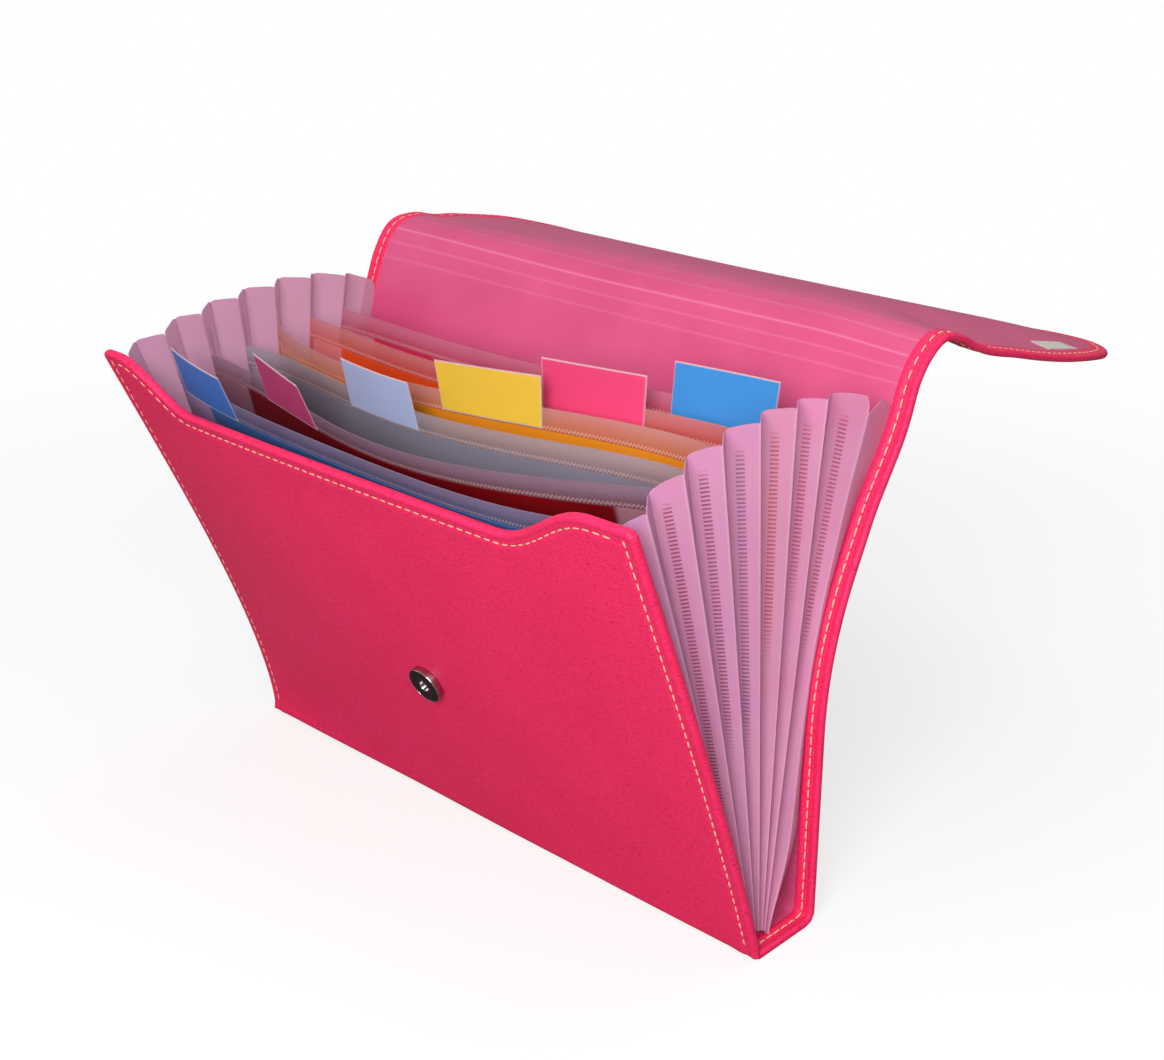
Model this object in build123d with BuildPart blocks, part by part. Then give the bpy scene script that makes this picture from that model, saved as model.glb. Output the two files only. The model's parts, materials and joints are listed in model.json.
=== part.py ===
"""Accordion file folder: a stitched leather cover, pleated pockets and a snap flap, standing open.

Millimetres. X runs left to right, Y front to back and Z up. The origin is the centre of the
base's flat underside. A lean is the angle in degrees of a panel's rising direction from upright,
positive towards the front.
"""
import os
from math import asin, atan2, cos, degrees, hypot, radians, sin, tan

from build123d import *

# Cover
COVER_WIDTH = 330.0
COVER_THICK = 4.0
PADDING_THICK = 1.4
LINING_THICK = 0.5
TURNED_EDGE = 9.0
HINGE_MARGIN = 4.0
BASE_DEPTH = 34.6
BASE_CORNER = 2.0
FRONT_GAP = 0.8
FRONT_AXIS_HEIGHT = 2.6

# Front cover
FRONT_HEIGHT = 230.0
FRONT_DIP = 24.5
EAR_WIDTH = 22.0
EAR_SLOPE_WIDTH = 38.0
FRONT_LEAN = 20.7

# Back cover
BACK_BEND_HEIGHT = 128.0
BACK_UPPER_LENGTH = 117.5
BACK_LEAN = 26.0
BEND_GAP = 0.3

# Flap and its creased spine
FLAP_THICK = 2.2
FLAP_PADDING_THICK = 0.8
FLAP_LENGTH = 200.0
FLAP_CORNER = 100.0
CREASE_GAP = 0.2
CREASE_MARGIN = 1.0
CREASE_ANGLES = (20.0, 24.0, 18.0, 12.0, 4.0)
CREASE_TURN_ANGLE = 49.0
CLOSED_LEAN = 1.5
LABEL_WIDTH = 10.0
LABEL_HEIGHT = 28.0
LABEL_THICK = 0.3
LABEL_FROM_SIDE = 17.0
LABEL_ALONG = 87.0

# Magnetic snap
SNAP_FROM_EDGE = 34.4
SNAP_DIAMETER = 18.5
SNAP_DEPTH = 4.0
SNAP_HOLE = 5.5
SNAP_FLOOR = 0.6
SNAP_WALL = 1.4
MAGNET_BORE = 8.0
MAGNET_THICK = 2.8
STUD_PLATE = 1.2
POST_DIAMETER = 4.8
POST_LENGTH = 2.6
SNAP_CLEARANCE = 0.3
SHANK_DIAMETER = 4.0
WASHER_DIAMETER = 14.0
WASHER_THICK = 0.6
FIT = 0.1

# Dividers and tabs
DIVIDERS = 6
DIVIDER_INSET = 15.0
DIVIDER_START = 8.0
DIVIDER_TOP = 211.0
DIVIDER_THICK = 0.6
FIRST_DIVIDER_OFFSET = 3.7
DIVIDER_PITCH = 1.8
BEND_CLEARANCE = 1.67
COLOUR_THICK = 0.5
COLOUR_MARGIN = 4.0
COLOUR_DROP = 10.0
TAB_WIDTH = 50.0
TAB_HEIGHT = 24.0
TAB_RISE = 14.5
FIRST_TAB_INSET = 9.0
LAST_TAB_INSET = 31.0
SLEEVE_WALL = 0.25
CARD_THICK = 0.4
CARD_INSET = 1.5

# Gusset pleats
PLEAT_INSET = 6.0
PLEAT_IN_GAP = 0.3
PLEAT_BAND = 1.0
PLEAT_TOP = 237.0
PLEAT_START = 26.0
LAST_PLEAT_START = 12.0
PLEAT_SEAT_GAP = 0.2

# Worked out from the sizes above
HALF_WIDTH = COVER_WIDTH / 2
HALF_COVER = COVER_THICK / 2
HALF_FLAP = FLAP_THICK / 2
RECESS = PADDING_THICK + LINING_THICK
FLAP_RECESS = FLAP_PADDING_THICK + LINING_THICK
SNAP_GAP = SNAP_DEPTH + STUD_PLATE + SNAP_CLEARANCE
FRONT_AXIS = (-(BASE_DEPTH / 2 + FRONT_GAP + HALF_COVER), FRONT_AXIS_HEIGHT)
BACK_Y = BASE_DEPTH / 2
STRIPS = len(CREASE_ANGLES) - 1
POCKETS = DIVIDERS + 1
DIVIDER_WIDTH = COVER_WIDTH - 2 * DIVIDER_INSET
TAB_PITCH = (DIVIDER_WIDTH - FIRST_TAB_INSET - LAST_TAB_INSET - TAB_WIDTH) / (DIVIDERS - 1)
PLEAT_OUT = HALF_WIDTH - PLEAT_INSET
STUD_ALONG = FLAP_LENGTH - SNAP_FROM_EDGE


def rise(lean):
    """Unit step (y, z) along a panel of the given lean."""
    return -sin(radians(lean)), cos(radians(lean))


def step(point, lean, length, off=0.0):
    """The point reached by going up a panel by length and off its face, towards the front, by off."""
    up_y, up_z = rise(lean)
    return point[0] + length * up_y - off * up_z, point[1] + length * up_z + off * up_y


def side_plane(point, lean):
    """Plane across the folder: its first axis runs up the panel, its second towards the front."""
    up_y, up_z = rise(lean)
    return Plane(origin=(0, *point), x_dir=(0, up_y, up_z), z_dir=(1, 0, 0))


def face_plane(point, lean, height=0.0):
    """Plane of the panel itself: X to the right, its second axis up the panel, moved off by height."""
    up_y, up_z = rise(lean)
    return Plane(origin=(0, *point), x_dir=(1, 0, 0), z_dir=(0, -up_z, up_y)).offset(height)


# Shut, each spine strip has turned by the crease travel, and together they span from the back
# cover to the flap, which lies along the front cover at the snap's depth: that sets their width.
closed_strips = []
closed_lean = 0.0
for bend in CREASE_ANGLES[:STRIPS]:
    closed_lean += CREASE_TURN_ANGLE - bend
    closed_strips.append(closed_lean)
span = sum(sin(radians(lean)) for lean in closed_strips)
climb = sum(cos(radians(lean)) for lean in closed_strips)
back_top = BACK_BEND_HEIGHT + BACK_UPPER_LENGTH
flap_offset = (HALF_COVER + SNAP_GAP + HALF_FLAP) / cos(radians(CLOSED_LEAN))
lean_slope = tan(radians(CLOSED_LEAN))
closed_depth = BACK_Y - FRONT_AXIS[0] + flap_offset - (back_top - FRONT_AXIS[1]) * lean_slope
STRIP_WIDTH = closed_depth / (span + climb * lean_slope)

# The snap's place up the front cover is where the flap's stud meets it when shut.
flap_top_shut = back_top + STRIP_WIDTH * climb
SNAP_HEIGHT = (flap_top_shut - FRONT_AXIS[1]) / cos(radians(CLOSED_LEAN)) - STUD_ALONG
SNAP_HEIGHT -= (HALF_COVER + SNAP_GAP + HALF_FLAP) * lean_slope

# The dividers share the angle from the front cover to the bend in the back, which the last one clears.
bend_depth = BACK_Y - HALF_COVER - FRONT_AXIS[0]
bend_rise = BACK_BEND_HEIGHT - FRONT_AXIS[1]
last_offset = FIRST_DIVIDER_OFFSET + DIVIDER_PITCH * (DIVIDERS - 1)
last_back = last_offset + DIVIDER_THICK / 2 + BEND_CLEARANCE
last_lean = degrees(asin(last_back / hypot(bend_depth, bend_rise)) - atan2(bend_depth, bend_rise))
POCKET_ANGLE = (FRONT_LEAN - last_lean) / DIVIDERS

# Where each panel of the back, spine and flap starts, and its lean, at rest
BACK_BEND = (BACK_Y, BACK_BEND_HEIGHT)
crease = step(BACK_BEND, -BACK_LEAN, BACK_UPPER_LENGTH)
lean = -BACK_LEAN
spine = []
for bend in CREASE_ANGLES[:STRIPS]:
    lean -= bend
    spine.append((crease, lean))
    crease = step(crease, lean, STRIP_WIDTH)
FLAP_AXIS = crease
FLAP_LEAN = lean - CREASE_ANGLES[STRIPS]


def finish(piece, name):
    """Label a finished piece and write it."""
    piece.label = name
    export_step(piece, f"parts/{name}.step")


def plate(point, lean, width, start, end, low, high, centre=0.0):
    """Flat sheet on a panel, from start to end up it and from low to high off its middle plane."""
    with BuildPart() as sheet:
        with BuildSketch(face_plane(point, lean, low)):
            with Locations((centre, (start + end) / 2)):
                Rectangle(width, end - start)
        extrude(amount=high - low)
    return sheet.part


def disc(point, lean, along, diameter, low, high, bore=0.0):
    """Round plate or ring on a panel's centre line, square to its face."""
    with BuildPart() as ring:
        with BuildSketch(face_plane(point, lean, low)):
            with Locations((0, along)):
                Circle(diameter / 2)
                if bore:
                    Circle(bore / 2, mode=Mode.SUBTRACT)
        extrude(amount=high - low)
    return ring.part


def covered_panel(point, lean, thick, start, end, inset_start, inset_end, recess, bead):
    """Leather panel whose turned edges frame a recess on the inside, with a round bead on its hinge."""
    with BuildPart() as leather:
        with BuildSketch(side_plane(point, lean)):
            with Locations(((start + end) / 2, 0)):
                Rectangle(end - start, thick)
            if bead:
                Circle(thick / 2)
        extrude(amount=HALF_WIDTH, both=True)
        with BuildSketch(face_plane(point, lean, thick / 2)):
            with Locations((0, (inset_start + inset_end) / 2)):
                Rectangle(COVER_WIDTH - 2 * TURNED_EDGE, inset_end - inset_start)
        extrude(amount=-recess, mode=Mode.SUBTRACT)
    return leather.part


def front_outline(margin, bottom):
    """Front cover's edge, drawn in by margin: straight sides, raised corners, a dip between them."""
    half = HALF_WIDTH - margin
    top = FRONT_HEIGHT - margin
    dip = top - FRONT_DIP
    ear = HALF_WIDTH - EAR_WIDTH
    low = ear - EAR_SLOPE_WIDTH
    middle = ((ear + low) / 2, (top + dip) / 2)
    with BuildLine() as edge:
        Polyline((0, bottom), (half, bottom), (half, top), (ear, top))
        TangentArc((ear, top), middle, tangent=(-1, 0))
        TangentArc((low, dip), middle, tangent=(1, 0))
        Line((low, dip), (0, dip))
        mirror(about=Plane.YZ)
    make_face(edge.edges())


def flap_outline(margin, bottom):
    """Flap's edge, drawn in by margin: a rectangle with two large round corners."""
    length = FLAP_LENGTH - margin - bottom
    with Locations((0, bottom + length / 2)):
        sheet = Rectangle(COVER_WIDTH - 2 * margin, length)
    fillet(sheet.vertices().group_by(Axis.Y)[-1], FLAP_CORNER - margin)


def shaped_plate(point, lean, outline, margin, bottom, low, high):
    """Sheet of the given outline on a panel, from low to high off its middle plane."""
    with BuildPart() as sheet:
        with BuildSketch(face_plane(point, lean, low)):
            outline(margin, bottom)
        extrude(amount=high - low)
    return sheet.part


def finish_layers(name, point, lean, layers, width, start, end):
    """Write the flat sheets that fill a panel's recess, from the leather outwards."""
    for layer, low, high in layers:
        sheet = plate(point, lean, width - 2 * FIT, start + FIT, end - FIT, low, high)
        finish(sheet, f"{name}_{layer}")


os.makedirs("parts", exist_ok=True)

cover_layers = (
    ("padding", HALF_COVER - RECESS, HALF_COVER - LINING_THICK),
    ("lining", HALF_COVER - LINING_THICK, HALF_COVER),
)
recess_width = COVER_WIDTH - 2 * TURNED_EDGE

# Base: it runs back from the front hinge to the inner face of the back cover.
base_start = (-BASE_DEPTH / 2, HALF_COVER)
base_length = BASE_DEPTH / 2 + BACK_Y - HALF_COVER
board_start = HINGE_MARGIN
board_end = base_length - HINGE_MARGIN
base = covered_panel(base_start, -90, COVER_THICK, 0, base_length, board_start, board_end, RECESS, False)
finish(base, "base_leather")
base_board = (("board", HALF_COVER - RECESS, HALF_COVER),)
finish_layers("base", base_start, -90, base_board, recess_width, board_start, board_end)

# Back cover, lower half: upright, with a rounded bottom corner.
back_foot = (BACK_Y, 0)
lower_end = BACK_BEND_HEIGHT - HALF_COVER - BEND_GAP
lower_inset = COVER_THICK + HINGE_MARGIN
lower_inset_end = lower_end - HINGE_MARGIN
lower = covered_panel(
    back_foot, 0, COVER_THICK, 0, lower_end, lower_inset, lower_inset_end, RECESS, False
)
with BuildPart() as back_lower:
    add(lower)
    corner = back_lower.edges().filter_by(Axis.X).group_by(Axis.Z)[0].sort_by(Axis.Y)[-1]
    fillet(corner, BASE_CORNER)
finish(back_lower.part, "back_lower_leather")
finish_layers("back_lower", back_foot, 0, cover_layers, recess_width, lower_inset, lower_inset_end)

# Back cover, upper half: it bends back from the lower half and carries the spine.
upper_end = BACK_UPPER_LENGTH - HALF_FLAP - CREASE_GAP
upper_inset_end = upper_end - HINGE_MARGIN
upper = covered_panel(
    BACK_BEND, -BACK_LEAN, COVER_THICK, 0, upper_end, HINGE_MARGIN, upper_inset_end, RECESS, True
)
finish(upper, "back_upper_leather")
finish_layers(
    "back_upper", BACK_BEND, -BACK_LEAN, cover_layers, recess_width, HINGE_MARGIN, upper_inset_end
)

# Spine: creased strips, each with a bead on its lower crease and a strip of lining inside.
strip_end = STRIP_WIDTH - HALF_FLAP - CREASE_GAP
strip_layers = (("lining", HALF_FLAP - LINING_THICK, HALF_FLAP),)
strip_inset_end = strip_end - CREASE_MARGIN
for number, (point, strip_lean) in enumerate(spine, start=1):
    strip = covered_panel(
        point, strip_lean, FLAP_THICK, 0, strip_end, CREASE_MARGIN, strip_inset_end, LINING_THICK, True
    )
    finish(strip, f"spine_{number}_leather")
    finish_layers(
        f"spine_{number}", point, strip_lean, strip_layers, recess_width, CREASE_MARGIN, strip_inset_end
    )

# Flap: its inner face carries the snap's stud, which is riveted to a washer in the padding.
with BuildPart() as flap:
    add(shaped_plate(FLAP_AXIS, FLAP_LEAN, flap_outline, 0, 0, -HALF_FLAP, HALF_FLAP))
    with BuildSketch(side_plane(FLAP_AXIS, FLAP_LEAN)):
        Circle(HALF_FLAP)
    extrude(amount=HALF_WIDTH, both=True)
    with BuildSketch(face_plane(FLAP_AXIS, FLAP_LEAN, HALF_FLAP)):
        flap_outline(TURNED_EDGE, CREASE_MARGIN)
    extrude(amount=-FLAP_RECESS, mode=Mode.SUBTRACT)
finish(flap.part, "flap_leather")

flap_skin = HALF_FLAP - FLAP_RECESS
flap_padding_top = flap_skin + FLAP_PADDING_THICK
sheet_edge = TURNED_EDGE + FIT
sheet_bottom = CREASE_MARGIN + FIT
with BuildPart() as flap_padding:
    add(
        shaped_plate(
            FLAP_AXIS, FLAP_LEAN, flap_outline, sheet_edge, sheet_bottom, flap_skin, flap_padding_top
        )
    )
    with BuildSketch(face_plane(FLAP_AXIS, FLAP_LEAN, flap_skin)):
        with Locations((0, STUD_ALONG)):
            Circle(WASHER_DIAMETER / 2 + FIT)
    extrude(amount=FLAP_PADDING_THICK, mode=Mode.SUBTRACT)
finish(flap_padding.part, "flap_padding")

with BuildPart() as flap_lining:
    add(
        shaped_plate(
            FLAP_AXIS, FLAP_LEAN, flap_outline, sheet_edge, sheet_bottom, flap_padding_top, HALF_FLAP
        )
    )
    with BuildSketch(face_plane(FLAP_AXIS, FLAP_LEAN, flap_padding_top)):
        with Locations((0, STUD_ALONG)):
            Circle(SHANK_DIAMETER / 2 + FIT)
    extrude(amount=LINING_THICK, mode=Mode.SUBTRACT)
finish(flap_lining.part, "flap_lining")

stud_face = HALF_FLAP + STUD_PLATE
washer_seat = flap_skin + WASHER_THICK
with BuildPart() as stud:
    add(disc(FLAP_AXIS, FLAP_LEAN, STUD_ALONG, SNAP_DIAMETER, HALF_FLAP, stud_face))
    add(disc(FLAP_AXIS, FLAP_LEAN, STUD_ALONG, POST_DIAMETER, stud_face, stud_face + POST_LENGTH))
    add(disc(FLAP_AXIS, FLAP_LEAN, STUD_ALONG, SHANK_DIAMETER, washer_seat, HALF_FLAP))
finish(stud.part, "snap_stud")
stud_washer = disc(FLAP_AXIS, FLAP_LEAN, STUD_ALONG, WASHER_DIAMETER, flap_skin, washer_seat)
finish(stud_washer, "snap_stud_washer")

label = plate(
    FLAP_AXIS,
    FLAP_LEAN,
    LABEL_WIDTH,
    LABEL_ALONG,
    LABEL_ALONG + LABEL_HEIGHT,
    HALF_FLAP,
    HALF_FLAP + LABEL_THICK,
    HALF_WIDTH - LABEL_FROM_SIDE,
)
finish(label, "label_tape")

# Front cover: the same build, with its inside towards the back.
front_skin = RECESS - HALF_COVER
with BuildPart() as front:
    add(shaped_plate(FRONT_AXIS, FRONT_LEAN, front_outline, 0, 0, -HALF_COVER, HALF_COVER))
    with BuildSketch(side_plane(FRONT_AXIS, FRONT_LEAN)):
        Circle(HALF_COVER)
    extrude(amount=HALF_WIDTH, both=True)
    with BuildSketch(face_plane(FRONT_AXIS, FRONT_LEAN, -HALF_COVER)):
        front_outline(TURNED_EDGE, HINGE_MARGIN)
    extrude(amount=RECESS, mode=Mode.SUBTRACT)
    with BuildSketch(face_plane(FRONT_AXIS, FRONT_LEAN, front_skin)):
        with Locations((0, SNAP_HEIGHT)):
            Circle(SHANK_DIAMETER / 2 + FIT)
    extrude(amount=COVER_THICK, mode=Mode.SUBTRACT)
finish(front.part, "front_leather")

front_bottom = HINGE_MARGIN + FIT
with BuildPart() as front_padding:
    add(
        shaped_plate(
            FRONT_AXIS,
            FRONT_LEAN,
            front_outline,
            sheet_edge,
            front_bottom,
            front_skin - PADDING_THICK,
            front_skin,
        )
    )
    with BuildSketch(face_plane(FRONT_AXIS, FRONT_LEAN, front_skin)):
        with Locations((0, SNAP_HEIGHT)):
            Circle(WASHER_DIAMETER / 2 + FIT)
    extrude(amount=-PADDING_THICK, mode=Mode.SUBTRACT)
finish(front_padding.part, "front_padding")
front_lining = shaped_plate(
    FRONT_AXIS,
    FRONT_LEAN,
    front_outline,
    sheet_edge,
    front_bottom,
    -HALF_COVER,
    LINING_THICK - HALF_COVER,
)
finish(front_lining, "front_lining")

# Snap: a cup on the front's outer face with a ring magnet in it, riveted to a washer in the padding.
cup_top = HALF_COVER + SNAP_DEPTH
magnet_diameter = SNAP_DIAMETER - 2 * SNAP_WALL
with BuildPart() as cup:
    add(disc(FRONT_AXIS, FRONT_LEAN, SNAP_HEIGHT, SNAP_DIAMETER, HALF_COVER, cup_top))
    with BuildSketch(face_plane(FRONT_AXIS, FRONT_LEAN, HALF_COVER)):
        with Locations((0, SNAP_HEIGHT)):
            Circle(magnet_diameter / 2 + FIT)
            Circle(MAGNET_BORE / 2 - FIT, mode=Mode.SUBTRACT)
    extrude(amount=MAGNET_THICK, mode=Mode.SUBTRACT)
    with BuildSketch(face_plane(FRONT_AXIS, FRONT_LEAN, HALF_COVER + SNAP_FLOOR)):
        with Locations((0, SNAP_HEIGHT)):
            Circle(SNAP_HOLE / 2)
    extrude(amount=SNAP_DEPTH, mode=Mode.SUBTRACT)
    add(disc(FRONT_AXIS, FRONT_LEAN, SNAP_HEIGHT, SHANK_DIAMETER, front_skin, HALF_COVER))
finish(cup.part, "snap_cup")
magnet = disc(
    FRONT_AXIS, FRONT_LEAN, SNAP_HEIGHT, magnet_diameter, HALF_COVER, HALF_COVER + MAGNET_THICK, MAGNET_BORE
)
finish(magnet, "snap_magnet")
snap_washer = disc(
    FRONT_AXIS, FRONT_LEAN, SNAP_HEIGHT, WASHER_DIAMETER, front_skin - WASHER_THICK, front_skin
)
finish(snap_washer, "snap_cup_washer")


def divider_place(number):
    """A divider's lean and how far behind the front hinge its middle plane passes."""
    return FRONT_LEAN - POCKET_ANGLE * number, FIRST_DIVIDER_OFFSET + DIVIDER_PITCH * (number - 1)


# Dividers: a frosted sheet, a coloured sheet on its front, and a clear sleeve with a card in it.
half_sheet = DIVIDER_THICK / 2
sleeve_face = half_sheet + 2 * SLEEVE_WALL + CARD_THICK
tab_top = DIVIDER_TOP + TAB_RISE
tab_bottom = tab_top - TAB_HEIGHT
for number in range(1, DIVIDERS + 1):
    sheet_lean, behind = divider_place(number)
    foot = step(FRONT_AXIS, sheet_lean, 0, -behind)
    sheet = plate(foot, sheet_lean, DIVIDER_WIDTH, DIVIDER_START, DIVIDER_TOP, -half_sheet, half_sheet)
    finish(sheet, f"divider_sheet_{number}")
    colour = plate(
        foot,
        sheet_lean,
        DIVIDER_WIDTH - 2 * COLOUR_MARGIN,
        DIVIDER_START + COLOUR_MARGIN,
        DIVIDER_TOP - COLOUR_DROP,
        half_sheet,
        half_sheet + COLOUR_THICK,
    )
    finish(colour, f"colour_sheet_{number}")
    tab_x = FIRST_TAB_INSET + (TAB_WIDTH - DIVIDER_WIDTH) / 2 + TAB_PITCH * (number - 1)
    card_low = half_sheet + SLEEVE_WALL
    card_high = card_low + CARD_THICK
    card_bottom = tab_bottom + CARD_INSET
    card_top = tab_top - CARD_INSET
    with BuildPart() as sleeve:
        add(plate(foot, sheet_lean, TAB_WIDTH, tab_bottom, tab_top, half_sheet, sleeve_face, tab_x))
        add(
            plate(foot, sheet_lean, TAB_WIDTH, card_bottom, card_top, card_low, card_high, tab_x),
            mode=Mode.SUBTRACT,
        )
    finish(sleeve.part, f"tab_sleeve_{number}")
    card = plate(
        foot, sheet_lean, TAB_WIDTH - 2 * CARD_INSET, card_bottom, card_top, card_low, card_high, tab_x
    )
    finish(card, f"tab_card_{number}")


def pleat_section(front_point, back_point):
    """One V across the gusset: from the pocket's front panel out to the fold and back to its rear one."""
    gap_y = back_point[0] - front_point[0]
    gap_z = back_point[1] - front_point[1]
    half_gap = (gap_y**2 + gap_z**2) ** 0.5 / 2
    middle = ((front_point[0] + back_point[0]) / 2, (front_point[1] + back_point[1]) / 2)
    inner = DIVIDER_WIDTH / 2 + PLEAT_IN_GAP
    plane = Plane(origin=(0, *middle), x_dir=(1, 0, 0), z_dir=(0, -gap_z, gap_y))
    with BuildSketch(plane) as section:
        with BuildLine():
            Polyline(
                (inner, -half_gap),
                (inner + PLEAT_BAND, -half_gap),
                (PLEAT_OUT, 0),
                (inner + PLEAT_BAND, half_gap),
                (inner, half_gap),
                (PLEAT_OUT - PLEAT_BAND, 0),
                close=True,
            )
        make_face()
    return section.sketch


def divider_point(number, height, seat):
    """Point on a divider's edge at a height up it, seat behind its middle plane."""
    sheet_lean, behind = divider_place(number)
    return step(FRONT_AXIS, sheet_lean, height, -behind - seat)


# Gussets: one V pleat on each side of every pocket, wide at the top and narrow at the foot.
back_seat = HALF_COVER + PLEAT_SEAT_GAP
for pocket in range(1, POCKETS + 1):
    sections = []
    for at_top in (False, True):
        height = PLEAT_TOP if at_top else PLEAT_START
        if pocket == POCKETS:
            along_back = BACK_UPPER_LENGTH - TURNED_EDGE if at_top else LAST_PLEAT_START
            height = PLEAT_TOP if at_top else BACK_BEND_HEIGHT + LAST_PLEAT_START
            rear = step(BACK_BEND, -BACK_LEAN, along_back, back_seat)
        else:
            rear = divider_point(pocket, height, -PLEAT_SEAT_GAP / 2)
        if pocket == 1:
            fore = step(FRONT_AXIS, FRONT_LEAN, height, -back_seat)
        else:
            fore = divider_point(pocket - 1, height, PLEAT_SEAT_GAP / 2)
        sections.append(pleat_section(fore, rear))
    with BuildPart() as pleats:
        loft(sections, ruled=True)
        mirror(about=Plane.YZ)
    finish(pleats.part, f"pleats_{pocket}")
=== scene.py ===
"""Dresses the accordion file folder: grained leather, frosted pockets, coloured sheets, tabs and a snap.

Shapes are worked out in millimetres, in the part's own frame: X left to right, Y front to back, Z up.
A lean is the angle of a panel's rising direction from upright, in degrees, positive towards the front.
"""
import json

import bmesh
import bpy
import numpy as np
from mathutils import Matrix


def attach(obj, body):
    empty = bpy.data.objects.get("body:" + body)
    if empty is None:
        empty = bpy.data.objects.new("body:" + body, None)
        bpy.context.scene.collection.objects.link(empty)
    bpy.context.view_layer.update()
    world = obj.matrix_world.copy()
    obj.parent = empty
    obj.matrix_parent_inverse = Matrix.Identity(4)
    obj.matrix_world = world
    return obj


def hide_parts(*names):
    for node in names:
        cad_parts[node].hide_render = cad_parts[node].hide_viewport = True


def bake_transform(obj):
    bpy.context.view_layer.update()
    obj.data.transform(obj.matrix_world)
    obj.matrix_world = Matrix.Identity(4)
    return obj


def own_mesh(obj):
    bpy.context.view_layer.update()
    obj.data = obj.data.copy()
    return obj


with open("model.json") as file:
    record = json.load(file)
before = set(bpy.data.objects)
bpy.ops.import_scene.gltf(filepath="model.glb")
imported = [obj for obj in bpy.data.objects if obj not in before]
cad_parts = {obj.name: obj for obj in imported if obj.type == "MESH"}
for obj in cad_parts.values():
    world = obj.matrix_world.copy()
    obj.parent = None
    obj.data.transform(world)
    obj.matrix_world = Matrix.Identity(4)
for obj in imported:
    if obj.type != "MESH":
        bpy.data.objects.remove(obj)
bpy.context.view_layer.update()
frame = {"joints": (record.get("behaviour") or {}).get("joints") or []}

MM = 0.001
hinges = {j["name"]: np.array(j["pos_m"][1:]) / MM for j in frame["joints"]}
FRONT_AXIS = hinges["pocket_1"]
BACK_BEND = hinges["back_bend"]
CREASES = [hinges[f"crease_{number}"] for number in range(1, 6)]

# Leather edge: a round rim, a fold, a row of stitches and the step at the turned margin's inner edge
HALF_WIDTH = 165.0
RIM_RADIUS = 1.5
FOLD_INSET = 3.3
FOLD_HALF = 0.9
FOLD_SHARE = 0.7
STITCH_INSET = 5.2
STITCH_HALF = 0.8
MARGIN = 9.0
MARGIN_EDGE = 8.6
MARGIN_STEP = 1.2
ROUND_STEPS = (0, 0.06, 0.22, 0.5, 0.85, 1.2, 1.5)
FOLD_STEPS = (2.2, 2.8, 3.3, 3.8, 4.4)
STITCH_STEPS = (4.8, 5.2, 5.6, 6.2, 7.4)
MARGIN_STEPS = (8.6, 9.2, 9.8, 12.0)
RIM_STEPS = np.array(ROUND_STEPS + FOLD_STEPS + STITCH_STEPS + MARGIN_STEPS)

# Leather and lining: half thicknesses to the inside and outside, grooves, seats and the foam in them
LEATHER_IN = 1.75
BACK_OUT = 2.05
FLAP_OUT = 1.7
FRONT_HALF = 2.2
THREAD_SINK = 0.45
STRIP_GROOVE = 0.45
FLAP_GROOVE = 0.26
FRONT_GROOVE = 0.45
SEAT_SHARE = 0.42
FLAP_SEAT = 0.74
RIPPLE = 0.12
RIPPLE_HALF = 154.0
LINING_HALF = 155.8
LINING_FOOT = 4.0
LINING_OFFS = (0.8, 1.2)
LINING_TUCK = 0.6
OTHER_FACE = 400.0

# Cover line in side view: along the base, up the back, over the creases and out along the flap
BASE_LINE = 2.1
BASE_START = -18.6
BASE_ROUND = 4.0
BEND_ROUND = 36.0
CREASE_ROUND = 5.6
BEND_SPAN = 38.0
CREASE_SPAN = 5.5
ROLL_CLEAR = 7.0
THIN_LEAD = 30.0
THIN_RUN = 40.0
FLAP_TILT = 104.0
FLAP_LENGTH = 200.0
FLAP_CORNER = 100.0
LOOK_AHEAD = 0.6

# Wave of the soft cover off its line, at places along it from the first crease
SHOULDER = 105.0
WAVE_PLACES = np.array([-60.0, -15.0, 0.0, 12.5, 25.0, 37.5, 50.0, 90.0, 130.0, 170.0, 215.0, 252.0])
LEFT_WAVE = np.array([0.1, 5.9, 7.4, 9.3, 5.8, 2.1, 2.7, 4.9, 3.4, -0.5, -3.6, -6.5])
MIDDLE_WAVE = np.array([0.0, 0.3, 1.4, 4.0, 4.0, 2.8, 2.6, 3.2, 2.0, -1.0, -5.8, -9.0])
SHOULDER_WAVE = np.array([0.0, 0.3, 1.2, 3.8, 3.8, 2.6, 2.4, 2.6, 1.8, 0.0, -2.6, -4.3])
RIGHT_WAVE = np.array([-0.4, -4.0, -2.3, -0.5, 1.2, -1.7, -5.4, -7.7, -8.0, -6.0, -5.6, -5.4])
CREASE_PLACES = np.array([-2.0, 4.5, 10.5, 18.5, 26.0, 34.0])
CREASE_SHADES = np.array([0.14, 0.16, 0.36, 0.2, 0.16, 0.12])
CREASE_HALF = 0.4

# Front cover, with its corners' level width and slope, its seams' clear ends and its snap's place
FRONT_LEAN = 20.7
FRONT_HEIGHT = 230.0
FRONT_DIP = 24.5
RIGHT_EAR = (22.0, 58.0)
LEFT_EAR = (11.0, 40.0)
FRONT_CORNER = 3.0
FRONT_HOLLOW = 2.6
FRONT_SWELL = 3.0
LEFT_PRESS = 6.0
LEFT_PRESS_FROM = 50.0
DIMPLE_DEPTH = 0.6
DIMPLE_RADIUS = 15.0
FRONT_THINNING = 0.15
THINNING_FROM = 8.0
THINNING_RUN = 4.0
RIPPLE_EASE = 6.0
FRONT_SEAT_DROP = 1.3
FOOT_MARGIN = 5.0
FOOT_EASE = 2.0
FRONT_LINING_HALF = 156.0
FRONT_LINING_FOOT = 4.5
FRONT_LINING_OFFS = (-1.75, -1.2)
SIDE_SEAM_CLEAR = (5.0, 3.0)
TOP_SEAM_CLEAR = (9.0, 11.0)
SNAP_HEIGHT = 89.93

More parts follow.
